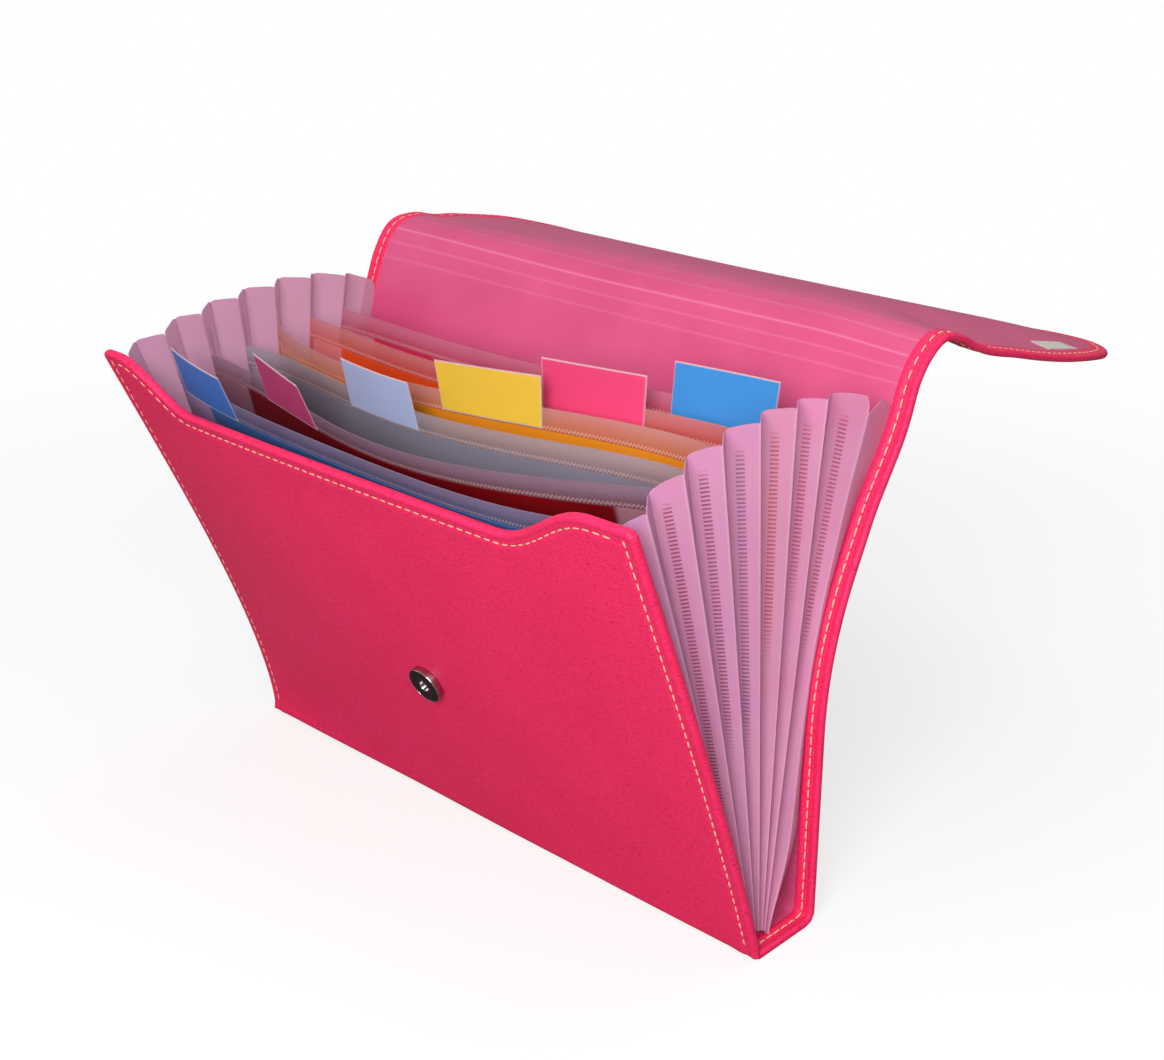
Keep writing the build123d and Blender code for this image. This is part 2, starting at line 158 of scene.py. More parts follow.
# Stud and label tape on the flap: places across and along it, and heights off it
STUD_ALONG = 165.6
TAPE_MIDDLE = (148.0, 101.0)
TAPE_SIZE = (10.0, 28.0)
TAPE_OFFS = (1.22, 1.55)

# Dividers, their coloured sheets and tabs
DIVIDERS = 6
POCKET_ANGLE = 5.0
DIVIDER_HALF = 150.0
DIVIDER_START = 8.0
DIVIDER_TOP = 211.0
FIRST_OFFSET = 3.7
OFFSET_PITCH = 1.8
FILM_OFFS = (-0.3, 0.3)
COLOUR_HALF = 146.0
COLOUR_START = 12.0
COLOUR_DROP = 10.0
COLOUR_OFFS = (0.32, 0.8)
BOW_POWER = 2.4
BOWS = (
    (4.5, 1.6, 2.9), (7.4, 2.4, -4.6), (3.5, -2.0, -7.9),
    (2.8, -10.2, -4.4), (3.6, -4.1, -5.6), (3.6, -2.0, -3.9),
)
LIFTS = (0.0, 1.0, -3.0, 0.0, 4.0, 9.0)
TILTS = (0.011, 0.028, 0.011, -0.009, 0.008, 0.016)
TAB_WIDTH = 50.0
TAB_HEIGHT = 24.0
TAB_RISE = 14.5
TAB_PITCH = 42.0
FIRST_TAB_X = -116.0
TAB_SHIFTS = (-2.0, 0.5, -4.0, -0.5, -2.5, 6.0)
TAB_TEETH = 70
TOOTH_DEPTH = 0.45
TAB_SIDE_EDGE = 0.982
TAB_SIDE_MILK = 0.6
TAB_WELD_EDGE = 0.466
TAB_EDGE_EASE = 0.008
TAB_WALLS = {"back": (0.34, 0.56), "front": (1.0, 1.2)}
TAB_MIDDLE = 0.78
TAB_PINCH = 0.7
CARD_INSETS = (0.3, 0.75)
CARD_OFFS = (0.6, 0.95)

# Gusset pleats, by side where both sides differ: left is -1, right is 1
PLEAT_IN = 150.3
LAST_PLEAT_IN = 155.6
PLEAT_START = 5.0
PLEAT_HALF = 0.22
PLEAT_SWELL = 1.2
PLEAT_ROWS = 60
NEAR_WALL = (0, 0.015, 0.04, 0.08, 0.13)
NEAR_FOLD = (0.43, 0.46, 0.48, 0.492, 0.5)
PLEAT_TOPS = {
    -1: (228.5, 228.5, 229.4, 230.4, 231.6, 233.6, 234.6, 236.0),
    1: (223.5, 227.5, 231.7, 233.7, 235.2, 236.3, 237.4, 240.5),
}
PLEAT_DEPTHS = {-1: 9.0, 1: 8.2}
PLEAT_CORNERS = {-1: (4.0, 1.6, 0.6), 1: (1.6, 0.7, 2.0)}
LAST_CORNERS = {-1: (3.0, 0.8, 6.0), 1: (1.2, 8.0, 0.6)}
WALL_ROUNDS = (0.2, 0.3)
FOLD_ROUND = 0.2
LAST_FOLD_ROUND = 0.15
FOLD_LINE = 0.05
FOLD_SHARES = {-1: (0.5, 0.6, 0.55, 0.48, 0.42, 0.38, 0.34), 1: (0.5, 0.5, 0.5, 0.5, 0.5, 0.38, 0.46)}
LAST_RISE = 0.955
LAST_DROP = 4.0
FRONT_GAP = 2.3
LAST_GAP = 4.0
BACK_GAP = 1.9
BACK_FOOT = 9.0
BACK_JOIN = 42.0
LADDER_SHARE = 0.2
LADDER_FEET = (0.0, 45.0, 90.0, 85.0, 125.0, 145.0, 120.0)
LADDER_FADE = 30.0
LADDER_TOP = 13.0

# Shut folder: how much further back the stack lies
SHUT_BACK = 2.0

# Floor
FLOOR_HALF = 60000.0
FLOOR_DROP = 0.15

# Welds in metres: the zigzag of the dividers and the ladder of bars on the pleats
WELD_TOOTH = 0.0009
WELD_SLOPE = 1.6
WELD_RISE = 0.0006
WELD_HALF = 0.0003
BAR_HALF = 0.0014
BAR_PITCH = 0.00175
BAR_FILL = 0.45

# Shape helpers


def smooth(t):
    """Ease from 0 to 1 with level ends: 3 t squared less 2 t cubed."""
    t = np.clip(t, 0.0, 1.0)
    return t * t * (3 - 2 * t)


def eased(value, places, heights):
    """Curve through heights at places, level at each end: a cubic whose slopes are its neighbours' mean."""
    value = np.clip(value, places[0], places[-1])
    slopes = np.gradient(heights, places)
    slopes[[0, -1]] = 0.0
    span = np.clip(np.searchsorted(places, value, side="right") - 1, 0, len(places) - 2)
    width = places[span + 1] - places[span]
    t = (value - places[span]) / width
    rise = (heights[span + 1] - heights[span]) * smooth(t) + heights[span]
    return rise + width * t * (1 - t) * (slopes[span] * (1 - t) - slopes[span + 1] * t)


def unit(ways):
    """Directions of length one."""
    return ways / np.maximum(np.linalg.norm(ways, axis=-1, keepdims=True), 1e-9)


def reach_along(line):
    """Distance of each point of a line from its start, along it."""
    return np.concatenate([[0], np.cumsum(np.linalg.norm(np.diff(line, axis=0), axis=1))])


def follow(at, reach, values):
    """Rows of values, given at distances along a line, at other distances along it."""
    return np.stack([np.interp(at, reach, column) for column in values.T], axis=-1)


def on_panel(point, lean, x, along, off):
    """Points on a panel: x across, along up it from its foot, off its middle plane towards the front."""
    turn = np.radians(lean)
    y = point[0] - along * np.sin(turn) - off * np.cos(turn)
    z = point[1] + along * np.cos(turn) - off * np.sin(turn)
    return np.stack(np.broadcast_arrays(x, y, z), axis=-1)


def flat_cut(x, along):
    """Places on a piece's flat cut, as pairs (x, along)."""
    return np.stack(np.broadcast_arrays(x, along), axis=-1)


def index_quads(index):
    """Quads between neighbours of a matrix of vertex numbers."""
    corners = [index[:-1, :-1], index[:-1, 1:], index[1:, 1:], index[1:, :-1]]
    return np.stack(corners, axis=-1).reshape(-1, 4)


def grid_quads(rows, cols, ring=False):
    """Quads of a grid of vertices, numbered row by row; ring joins its last column to its first."""
    index = np.arange(rows * cols).reshape(rows, cols)
    return index_quads(np.concatenate([index, index[:, :1]], axis=1) if ring else index)


def new_piece(name, points, faces, material, uv=None, marks=None, turn=True):
    """Mesh piece from points in millimetres and face arrays, each array of one face size.

    uv holds each vertex's place on the flat cut in millimetres, and marks one value per vertex by name.
    A closed piece has its faces turned outwards.
    """
    mesh = bpy.data.meshes.new(name)
    points = np.asarray(points, float).reshape(-1, 3) * MM
    corners = np.concatenate([np.ravel(f) for f in faces])
    sizes = np.concatenate([np.full(len(f), f.shape[1]) for f in faces])
    mesh.vertices.add(len(points))
    mesh.vertices.foreach_set("co", points.ravel())
    mesh.loops.add(len(corners))
    mesh.loops.foreach_set("vertex_index", corners)
    mesh.polygons.add(len(sizes))
    mesh.polygons.foreach_set("loop_start", np.cumsum(sizes) - sizes)
    if uv is not None:
        cut = mesh.uv_layers.new(name="Cut")
        cut.data.foreach_set("uv", (np.asarray(uv, float).reshape(-1, 2)[corners] * MM).ravel())
    for mark, values in (marks or {}).items():
        layer = mesh.attributes.new(mark, "FLOAT", "POINT")
        layer.data.foreach_set("value", np.asarray(values, np.float32).ravel())
    mesh.update(calc_edges=True)
    mesh.validate()
    if turn:
        shell = bmesh.new()
        shell.from_mesh(mesh)
        bmesh.ops.recalc_face_normals(shell, faces=shell.faces)
        shell.to_mesh(mesh)
        shell.free()
    mesh.polygons.foreach_set("use_smooth", np.ones(len(mesh.polygons), bool))
    mesh.set_sharp_from_angle(angle=np.radians(42.0))
    piece = bpy.data.objects.new(name, mesh)
    bpy.context.scene.collection.objects.link(piece)
    for one in material if isinstance(material, list) else [material]:
        mesh.materials.append(one)
    return piece


def slab(inner, outer):
    """Closed sheet between two grids of points of one shape: two skins joined by walls round the rim."""
    rows, cols = inner.shape[:2]
    count = rows * cols
    number = np.arange(count).reshape(rows, cols)
    rim = np.concatenate([number[0, :-1], number[:-1, -1], number[-1, :0:-1], number[:0:-1, 0]])
    after = np.roll(rim, -1)
    walls = np.stack([rim, after, after + count, rim + count], axis=-1)
    quads = index_quads(number)
    points = np.concatenate([inner.reshape(-1, 3), outer.reshape(-1, 3)])
    return points, [quads[:, ::-1], quads + count, walls]


def sheet_piece(name, low, high, flat, material, marks=None):
    """Closed thin sheet between two grids of points; both skins have the same flat cut and marks."""
    both = {mark: np.tile(np.ravel(values), 2) for mark, values in (marks or {}).items()}
    return new_piece(name, *slab(low, high), material, np.tile(flat.reshape(-1, 2), (2, 1)), both)


def join(parts):
    """One set of points and faces out of several."""
    points = []
    faces = []
    count = 0
    for some, polygons in parts:
        points.append(some)
        faces += [f + count for f in polygons]
        count += len(some)
    return np.concatenate(points), faces


def stitches(path, normal, length=4.2, pitch=5.0, radius=0.36, lift=0.1):
    """Row of sewn stitches along a line of points: each a short thread, bowed so that its ends sink in.

    A stitch is a tube of five six-sided rings, thin at both ends, at even steps of arc length.
    """
    reach = reach_along(path)
    count = max(int(reach[-1] // pitch), 1)
    middle = (np.arange(count) + 0.5) * reach[-1] / count
    share = np.array([-1, -0.72, 0, 0.72, 1])
    at = middle[:, None] + share[None, :] * length / 2
    line = follow(at, reach, path)
    up = follow(at, reach, normal)
    side = np.cross(up, unit(np.gradient(line, axis=1)))
    girth = radius * np.array([0.35, 0.85, 1.0, 0.85, 0.35])
    sink = lift - radius * 1.3 * share**4
    angle = np.arange(6) * np.pi / 3
    ring = (
        side[:, :, None] * (np.cos(angle) * girth[:, None])[None, :, :, None]
        + up[:, :, None] * (np.sin(angle) * girth[:, None] + sink[:, None])[None, :, :, None]
    )
    points = (line[:, :, None] + ring).reshape(-1, 3)
    start = (np.arange(count) * 30)[:, None, None]
    quads = (grid_quads(5, 6, ring=True)[None] + start).reshape(-1, 4)
    ends = np.stack([np.arange(6)[::-1], np.arange(24, 30)])[None] + start
    return points, [quads, ends.reshape(-1, 6)]


def sewn(place, x, along, high, low):
    """Stitches on both faces along a line on a surface: place maps (x, along, off) to the part's frame."""
    up = place(x, along, 1.0) - place(x, along, 0.0)
    return [stitches(place(x, along, high), up), stitches(place(x, along, low), -up)]


def rim_height(inset, half, groove):
    """Half thickness at a distance in from the edge: a quarter round, a stitch groove and a lesser fold."""
    round_part = np.sqrt(np.clip(1 - (1 - np.minimum(inset, RIM_RADIUS) / RIM_RADIUS) ** 2, 0, 1))
    stitched = np.exp(-(((inset - STITCH_INSET) / STITCH_HALF) ** 2))
    folded = np.exp(-(((inset - FOLD_INSET) / FOLD_HALF) ** 2))
    return half * round_part - groove * (stitched + FOLD_SHARE * folded)


def margin_step(inset):
    """Step from the turned margin down to the lining's seat: 0 on the margin, 1 within it."""
    return smooth((inset - MARGIN_EDGE) / MARGIN_STEP)


def rim_profiles(inset, groove):
    """Inner and outer offsets of the leather near its edge, as shares of its half thicknesses."""
    height = rim_height(inset, 1.0, groove)
    return height - (1 - SEAT_SHARE) * margin_step(inset), -height


def stations(count, clear):
    """Places across the cover from right to left: close together on both rims, even between them."""
    middle = np.linspace(HALF_WIDTH - clear, clear - HALF_WIDTH, count)
    return np.concatenate([HALF_WIDTH - RIM_STEPS, middle, RIM_STEPS[::-1] - HALF_WIDTH])


def ripple(x, along):
    """Slight unevenness of padded leather: a few long sine waves that cross each other."""
    wave = np.sin(x / 31 + along / 43) + 0.7 * np.sin(x / 17 - along / 29 + 1.3)
    return RIPPLE * (wave + 0.5 * np.sin(x / 53 + along / 13))


# Node helpers


def socket(node, name, value):
    """Set or link an input: a value is written, an output socket is linked."""
    if isinstance(value, bpy.types.NodeSocket):
        node.id_data.links.new(value, node.inputs[name])
    else:
        node.inputs[name].default_value = value


def add(tree, kind, **inputs):
    """New node: inputs are set by name, or by number as i0, i1 and so on, its own settings as set_NAME."""
    node = tree.nodes.new(kind)
    for key, value in inputs.items():
        if key.startswith("set_"):
            setattr(node, key[4:], value)
    for key, value in inputs.items():
        if not key.startswith("set_"):
            numbered = key[0] == "i" and key[1:].isdigit()
            socket(node, int(key[1:]) if numbered else key.replace("_", " "), value)
    return node


def maths(tree, operation, a, b=0.0, c=0.0):
    """Math node: operation on two or three values."""
    return add(tree, "ShaderNodeMath", set_operation=operation, i0=a, i1=b, i2=c).outputs[0]


def times(tree, a, b):
    """Product of two values."""
    return maths(tree, "MULTIPLY", a, b)


def ranged(tree, value, low, span):
    """low plus span times a value."""
    return maths(tree, "MULTIPLY_ADD", value, span, low)


def mixed(tree, factor, a, b):
    """Colour between a and b by factor."""
    return add(tree, "ShaderNodeMix", set_data_type="RGBA", i0=factor, i6=a, i7=b).outputs[2]


def band(tree, value, low, high):
    """0 below low, 1 above high, eased between."""
    node = add(tree, "ShaderNodeMapRange", set_interpolation_type="SMOOTHSTEP", i0=value, i1=low, i2=high)
    return node.outputs[0]


def between(tree, value, low, high, a, b):
    """Colour a where a value is below low, b where it is above high, eased between."""
    return mixed(tree, band(tree, value, low, high), a, b)


def noise(tree, place, scale, detail=2.0):
    """Cloudy noise around a half."""
    return add(tree, "ShaderNodeTexNoise", Vector=place, Scale=scale, Detail=detail).outputs[0]


def mark_of(tree, name):
    """Value of a vertex mark of the piece."""
    return add(tree, "ShaderNodeAttribute", set_attribute_name=name).outputs["Fac"]


def object_place(tree):
    """Place in the piece's own frame, in metres."""
    return add(tree, "ShaderNodeTexCoord").outputs["Object"]


def cut_place(tree):
    """Place on the piece's flat cut, from its UV map, in metres."""
    return add(tree, "ShaderNodeUVMap", set_uv_map="Cut").outputs[0]


def cut_parts(tree):
    """Place on the piece's flat cut, and its parts across and along."""
    place = cut_place(tree)
    parts = add(tree, "ShaderNodeSeparateXYZ", i0=place).outputs
    return place, parts[0], parts[1]


def bumped(tree, height, strength, distance=0.0002):
    """Normal of a surface with a height laid on it."""
    return add(tree, "ShaderNodeBump", Strength=strength, Distance=distance, Height=height).outputs[0]


def paint(red, green, blue):
    """Linear colour of a screen colour given in 0 to 255."""
    screen = np.array([red, green, blue]) / 255
    linear = np.where(screen <= 0.04045, screen / 12.92, ((screen + 0.055) / 1.055) ** 2.4)
    return (*linear.tolist(), 1.0)


def paints(*colours):
    """Linear colours of several screen colours."""
    return [paint(*colour) for colour in colours]


def new_group(name, inputs, outputs):
    """Shader node group with named sockets; returns the group and its end nodes."""
    group = bpy.data.node_groups.new(name, "ShaderNodeTree")
    for label, kind in inputs:
        group.interface.new_socket(name=label, in_out="INPUT", socket_type=kind)
    for label in outputs:
        group.interface.new_socket(name=label, in_out="OUTPUT", socket_type="NodeSocketFloat")
    return group, group.nodes.new("NodeGroupInput"), group.nodes.new("NodeGroupOutput")


def new_material(name):
    """Material with a bare Principled surface; returns it, its tree and the shader."""
    material = bpy.data.materials.new(name)
    material.use_nodes = True
    tree = material.node_tree
    return material, tree, tree.nodes["Principled BSDF"]


def dress(shader, colour, rough, sheen=0.5, normal=None):
    """Give a Principled surface its colour, roughness, sheen and normal."""
    socket(shader, "Base Color", colour)
    socket(shader, "Roughness", rough)
    socket(shader, "Specular IOR Level", sheen)
    if normal is not None:
        socket(shader, "Normal", normal)


# Finishes


def grain_group():
    """Pebbled leather grain: rounded cells with creases between them, and a slow change of shade."""
    inputs = [("Vector", "NodeSocketVector"), ("Size", "NodeSocketFloat")]
    group, start, end = new_group("leather_grain", inputs, ["Height", "Shade"])
    place, size = start.outputs["Vector"], start.outputs["Size"]
    bent = add(group, "ShaderNodeTexNoise", Vector=place, Scale=times(group, size, 0.35), Detail=2.0)
    shift = add(group, "ShaderNodeVectorMath", set_operation="SCALE", i0=bent.outputs["Color"], Scale=0.0012)
    moved = add(group, "ShaderNodeVectorMath", set_operation="ADD", i0=place, i1=shift.outputs[0]).outputs[0]
    cells = add(group, "ShaderNodeTexVoronoi", set_feature="SMOOTH_F1", Vector=moved, Scale=size)
    socket(cells, "Smoothness", 0.6)
    pebble = maths(group, "SUBTRACT", 1.0, cells.outputs["Distance"])
    fine = noise(group, place, times(group, size, 2.2), 3.0)
    socket(end, "Height", ranged(group, fine, pebble, 0.35))
    socket(end, "Shade", noise(group, place, 22.0, 3.0))
    return group


def frost_group():
    """Frosted plastic film: a fine matt grain, and cloudiness for its opacity."""
    group, start, end = new_group("film_frost", [("Vector", "NodeSocketVector")], ["Grain", "Cloud"])
    socket(end, "Grain", noise(group, start.outputs[0], 1800.0))
    socket(end, "Cloud", noise(group, start.outputs[0], 18.0, 3.0))
    return group


GRAIN = grain_group()
FROST = frost_group()


def frost_at(tree, place):
    """Grain and cloudiness of frosted film at a place on its cut."""
    return add(tree, "ShaderNodeGroup", set_node_tree=FROST, Vector=place).outputs


def leather_material():
    """Grained hot-pink leather: pebbles in the normal, creases darkened with painted shade, a soft sheen."""
    material, tree, shader = new_material("pink_leather")
    grain = add(tree, "ShaderNodeGroup", set_node_tree=GRAIN, Vector=cut_place(tree), Size=1050.0).outputs
    worn = between(tree, grain["Shade"], 0.3, 0.7, paint(238, 40, 94), paint(243, 44, 99))
    # Painted shade: the colour is darker where the grain's height is low, in the creases between pebbles.
    creased = between(tree, grain["Height"], 0.2, 0.72, paint(208, 24, 72), worn)
    normal = bumped(tree, grain["Height"], 0.55, 0.0005)
    dress(shader, creased, ranged(tree, grain["Shade"], 0.4, 0.14), 0.24, normal)
    return material


def thread_material():
    """Twisted cream thread: fine bands along each stitch."""
    material, tree, shader = new_material("cream_thread")
    wave = add(tree, "ShaderNodeTexWave", Vector=object_place(tree), Scale=900.0, Distortion=1.5)
    twist = wave.outputs["Fac"]
    colour = mixed(tree, twist, paint(222, 160, 124), paint(244, 200, 164))
    dress(shader, colour, 0.7, normal=bumped(tree, twist, 0.4))
    return material


def lining_material():
    """Smooth pink plastic sheet with pale stress lines where it creases."""
    material, tree, shader = new_material("pink_lining")
    place = cut_place(tree)
    cloud = noise(tree, place, 30.0, 4.0)
    ground = between(tree, cloud, 0.3, 0.7, paint(203, 73, 120), paint(209, 79, 126))
    colour = mixed(tree, mark_of(tree, "crease"), ground, paint(240, 160, 196))
    normal = bumped(tree, noise(tree, place, 1400.0), 0.12)
    dress(shader, colour, ranged(tree, cloud, 0.38, 0.12), 0.45, normal)
    return material


def weld_ladder(tree, across, along):
    """Mask of a ladder of short weld bars: near its line, and in the filled share of each pitch."""
    near = maths(tree, "LESS_THAN", maths(tree, "ABSOLUTE", across), BAR_HALF)
    beat = maths(tree, "FRACT", maths(tree, "DIVIDE", along, BAR_PITCH))
    return times(tree, near, maths(tree, "LESS_THAN", beat, BAR_FILL))


def frosted(tree, shader, colour, alpha, through):
    """Make the surface a frosted film: some light passes through and scatters, some goes straight on."""
    scatter = add(tree, "ShaderNodeBsdfTranslucent", Color=colour)
    film = add(tree, "ShaderNodeMixShader", i0=through, i1=shader.outputs[0], i2=scatter.outputs[0])
    clear = add(tree, "ShaderNodeBsdfTransparent")
    whole = add(tree, "ShaderNodeMixShader", i0=alpha, i1=clear.outputs[0], i2=film.outputs[0])
    socket(tree.nodes["Material Output"], "Surface", whole.outputs[0])


def pleat_material(name, tint, bars):
    """Frosted lilac film of a gusset, with the ladder of weld bars down its front leg, a painted highlight
    along its folds and painted shade on the skin that faces into the folder.
    """
    material, tree, shader = new_material(name)
    place, across, along = cut_parts(tree)
    frost = frost_at(tree, place)
    fold = mark_of(tree, "fold")
    shown = times(tree, times(tree, weld_ladder(tree, across, along), mark_of(tree, "weld")), 0.8)
    film = between(tree, frost["Cloud"], 0.3, 0.7, tint, paint(246, 182, 218))
    # Painted highlight: the film is paler along each fold.
    film = mixed(tree, times(tree, fold, 0.4), film, paint(248, 214, 234))
    # Painted shade: the skin that faces into the folder gets a greyer, darker tint.
    film = mixed(tree, mark_of(tree, "inside"), film, paint(203, 152, 180))
    colour = mixed(tree, shown, film, bars)
    dress(shader, colour, ranged(tree, frost["Grain"], 0.3, 0.2), 0.3, bumped(tree, frost["Grain"], 0.15))
    frosted(tree, shader, colour, ranged(tree, maths(tree, "MAXIMUM", fold, shown), 0.76, 0.12), 0.42)
    return material


def film_material(name, pale, tint):
    """Frosted divider film, tinted by the sheet below its weld: a zigzag weld, paler above it."""
    material, tree, shader = new_material(name)
    place, across, along = cut_parts(tree)
    frost = frost_at(tree, place)
    drop = maths(tree, "ADD", along, COLOUR_DROP * MM)
    zigzag = ranged(tree, maths(tree, "PINGPONG", across, WELD_TOOTH), WELD_RISE, WELD_SLOPE)
    away = maths(tree, "ABSOLUTE", maths(tree, "SUBTRACT", drop, zigzag))
    welds = maths(tree, "LESS_THAN", away, WELD_HALF)
    glow = maths(tree, "SUBTRACT", 1.0, band(tree, drop, 0.0, 0.009))
    film = mixed(tree, ranged(tree, glow, 0.3, 0.45), pale, tint)
    colour = mixed(tree, times(tree, welds, 0.6), film, paint(240, 206, 204))
    dress(shader, colour, ranged(tree, frost["Grain"], 0.28, 0.2), 0.3, bumped(tree, frost["Grain"], 0.12))
    clouded = ranged(tree, frost["Cloud"], 0.4, 0.14)
    frosted(tree, shader, colour, ranged(tree, welds, clouded, 0.4), 0.35)
    return material


def sheet_material(name, colour, veil=0.0):
    """Coloured plastic sheet, slightly clouded, with a pale veil where the gusset's flange lies over it."""
    material, tree, shader = new_material(name)
    place, across, _ = cut_parts(tree)
    frost = frost_at(tree, place)
    darker = (*(0.9 * part for part in colour[:3]), 1.0)
    shade = between(tree, frost["Cloud"], 0.25, 0.75, darker, colour)
    ends = band(tree, maths(tree, "ABSOLUTE", across), 0.118, 0.121)
    veiled = mixed(tree, times(tree, ends, veil), shade, paint(206, 160, 180))
    dress(shader, veiled, ranged(tree, frost["Grain"], 0.35, 0.2), 0.25, bumped(tree, frost["Grain"], 0.1))
    return material


def sleeve_material():
    """Clear tab film, milky along its welded saw-tooth edges."""
    material, tree, shader = new_material("clear_sleeve")
    frost = frost_at(tree, cut_place(tree))
    edge = mark_of(tree, "edge")
    colour = mixed(tree, edge, paint(245, 240, 245), paint(240, 214, 214))
    dress(shader, colour, ranged(tree, frost["Grain"], 0.08, 0.1), 0.3)
    socket(shader, "Alpha", ranged(tree, edge, 0.02, 0.32))
    return material


def metal_material(name, bright, dark, rough):
    """Polished plated metal, a little scratched and tarnished."""
    material, tree, shader = new_material(name)
    place = object_place(tree)
    colour = between(tree, noise(tree, place, 400.0, 4.0), 0.35, 0.65, dark, bright)
    dress(shader, colour, ranged(tree, noise(tree, place, 4200.0), rough, 0.14))
    socket(shader, "Metallic", 1.0)
    return material


def label_material():
    """Bare woven tape: a fine over-and-under weave in off-white."""
    material, tree, shader = new_material("label_tape")
    threads = {"Color1": paint(222, 216, 206), "Color2": paint(206, 200, 190), "Mortar": paint(180, 172, 164)}
    weave = add(tree, "ShaderNodeTexBrick", Vector=object_place(tree), Scale=1500.0, **threads).outputs
    dress(shader, weave["Color"], 0.85, normal=bumped(tree, weave["Fac"], 0.4, 0.0001))
    return material


LEATHER = leather_material()
THREAD = thread_material()
LINING = lining_material()
SLEEVE = sleeve_material()
METAL = metal_material("snap_metal", paint(186, 176, 178), paint(160, 150, 152), 0.12)
FACE = metal_material("snap_face", paint(74, 58, 62), paint(58, 42, 46), 0.4)
TAPE = label_material()

FILM_COLOURS = paints(
    (178, 166, 196), (192, 158, 182), (196, 196, 212), (224, 180, 184), (226, 168, 172), (224, 160, 186)
)
# Sheet colours; the third is grey, a pale sheet darkened with painted shade.
SHEET_COLOURS = paints(
    (62, 102, 160), (116, 6, 12), (132, 126, 142), (222, 132, 24), (232, 78, 26), (208, 44, 88)
)
CARD_COLOURS = paints(
    (36, 116, 206), (206, 52, 118), (172, 184, 224), (230, 184, 24), (230, 40, 106), (24, 132, 208)
)
PLEAT_TINTS = paints(
    (224, 172, 226), (247, 171, 217), (245, 175, 223), (245, 173, 217),
    (250, 174, 208), (250, 167, 211), (250, 165, 209),
)
BAR_COLOURS = paints(
    (186, 76, 112), (168, 58, 92), (164, 72, 108), (158, 104, 150),
    (206, 96, 92), (204, 92, 124), (192, 84, 122),
)

# Cover: base, back and the roll of creased strips


def rounded_line(corners, tangents, step=2.0):
    """Line through corners in (y, z), each rounded by a parabola that starts a tangent length from it."""
    line = [corners[0][None]]

    def straight(end):
        gap = end - line[-1][-1]
        count = max(int(np.linalg.norm(gap) / step), 2)
        line.append(line[-1][-1] + gap * np.linspace(0, 1, count)[1:, None])

    t = np.linspace(0, 1, 13)[1:, None]
    for before, corner, after, length in zip(corners, corners[1:], corners[2:], tangents):
        first = corner + unit(before - corner) * length
        last = corner + unit(after - corner) * length
        straight(first)
        line.append((1 - t) ** 2 * first + 2 * t * (1 - t) * corner + t**2 * last)
    straight(corners[-1])
    return np.concatenate(line)


flap_way = np.array([np.sin(np.radians(FLAP_TILT)), np.cos(np.radians(FLAP_TILT))])
base_corners = [np.array([y, BASE_LINE]) for y in (BASE_START, BACK_BEND[0])]
cover_corners = [*base_corners, BACK_BEND, *CREASES, CREASES[-1] + flap_way * FLAP_LENGTH]
cover_line = rounded_line(cover_corners, [BASE_ROUND, BEND_ROUND] + [CREASE_ROUND] * len(CREASES))
cover_reach = reach_along(cover_line)


def reach_of(point):
    """Distance along the cover line of its nearest place to a point."""
    return cover_reach[np.argmin(np.linalg.norm(cover_line - point, axis=1))]


bend_reach = reach_of(BACK_BEND)
crease_reach = [reach_of(c) for c in CREASES]
back_foot = reach_of(np.array([BACK_BEND[0], BACK_FOOT]))
crease_lines = crease_reach[0] + CREASE_PLACES


def cover_at(reach):
    """Point (y, z) of the cover line and its unit normal to the inside, at distances along it."""
    behind, point, ahead = (
        follow(reach + shift, cover_reach, cover_line) for shift in (-LOOK_AHEAD, 0.0, LOOK_AHEAD)
    )
    way = unit(ahead - behind)
    return point, np.stack([-way[..., 1], way[..., 0]], axis=-1)


def cover_wave(x, reach):
    """How far the leather stands off the cover line to the inside.

    It has a tight crest over the creases, and the flap droops at its end and sags along its right edge.
    Four profiles along it are eased into each other across.
    """
    left, middle, shoulder, right = (
        eased(reach, crease_reach[0] + WAVE_PLACES, wave)
        for wave in (LEFT_WAVE, MIDDLE_WAVE, SHOULDER_WAVE, RIGHT_WAVE)
    )
    wave = left + (middle - left) * smooth((x + HALF_WIDTH) / HALF_WIDTH)
    wave = wave + (shoulder - middle) * smooth(x / SHOULDER)
    return wave + (right - shoulder) * smooth((x - SHOULDER) / (HALF_WIDTH - SHOULDER))


def on_cover(x, reach, off):
    """Points on the cover strip: x across, reach along its line, off it towards the inside."""
    point, normal = cover_at(reach)
    yz = point + normal * (off + cover_wave(x, reach))[..., None]
    return np.stack(np.broadcast_arrays(x, yz[..., 0], yz[..., 1]), axis=-1)


def outer_half(reach):
    """Leather's outer half thickness along the cover: full on the back, thinner from the creases on."""
    return BACK_OUT - (BACK_OUT - FLAP_OUT) * smooth((reach - crease_reach[0] + THIN_LEAD) / THIN_RUN)


def leather_strip(name, reaches):
    """Strip of cover along some of its line, capped at both ends.

    Its closed section goes over the inside from right to left and back over the outside, with a round rim,
    stitch groove and turned margin at each side.
    """
    x = stations(21, 14.0)
    inside, outside = rim_profiles(HALF_WIDTH - np.abs(x), STRIP_GROOVE)
    x = np.concatenate([x, x[-2:0:-1]])
    share = np.concatenate([inside, outside[-2:0:-1]])
    outer = share < 0
    reach = reaches[:, None]
    off = share * np.where(outer, outer_half(reach), LEATHER_IN)
    off = off + ripple(x, reach) * (outer & (np.abs(x) < RIPPLE_HALF))
    rows, cols = off.shape
    caps = np.stack([np.arange(cols)[::-1], np.arange(cols) + (rows - 1) * cols])
    faces = [grid_quads(rows, cols, ring=True), caps]
    return new_piece(name, on_cover(x, reach, off), faces, LEATHER, flat_cut(x + outer * OTHER_FACE, reach))


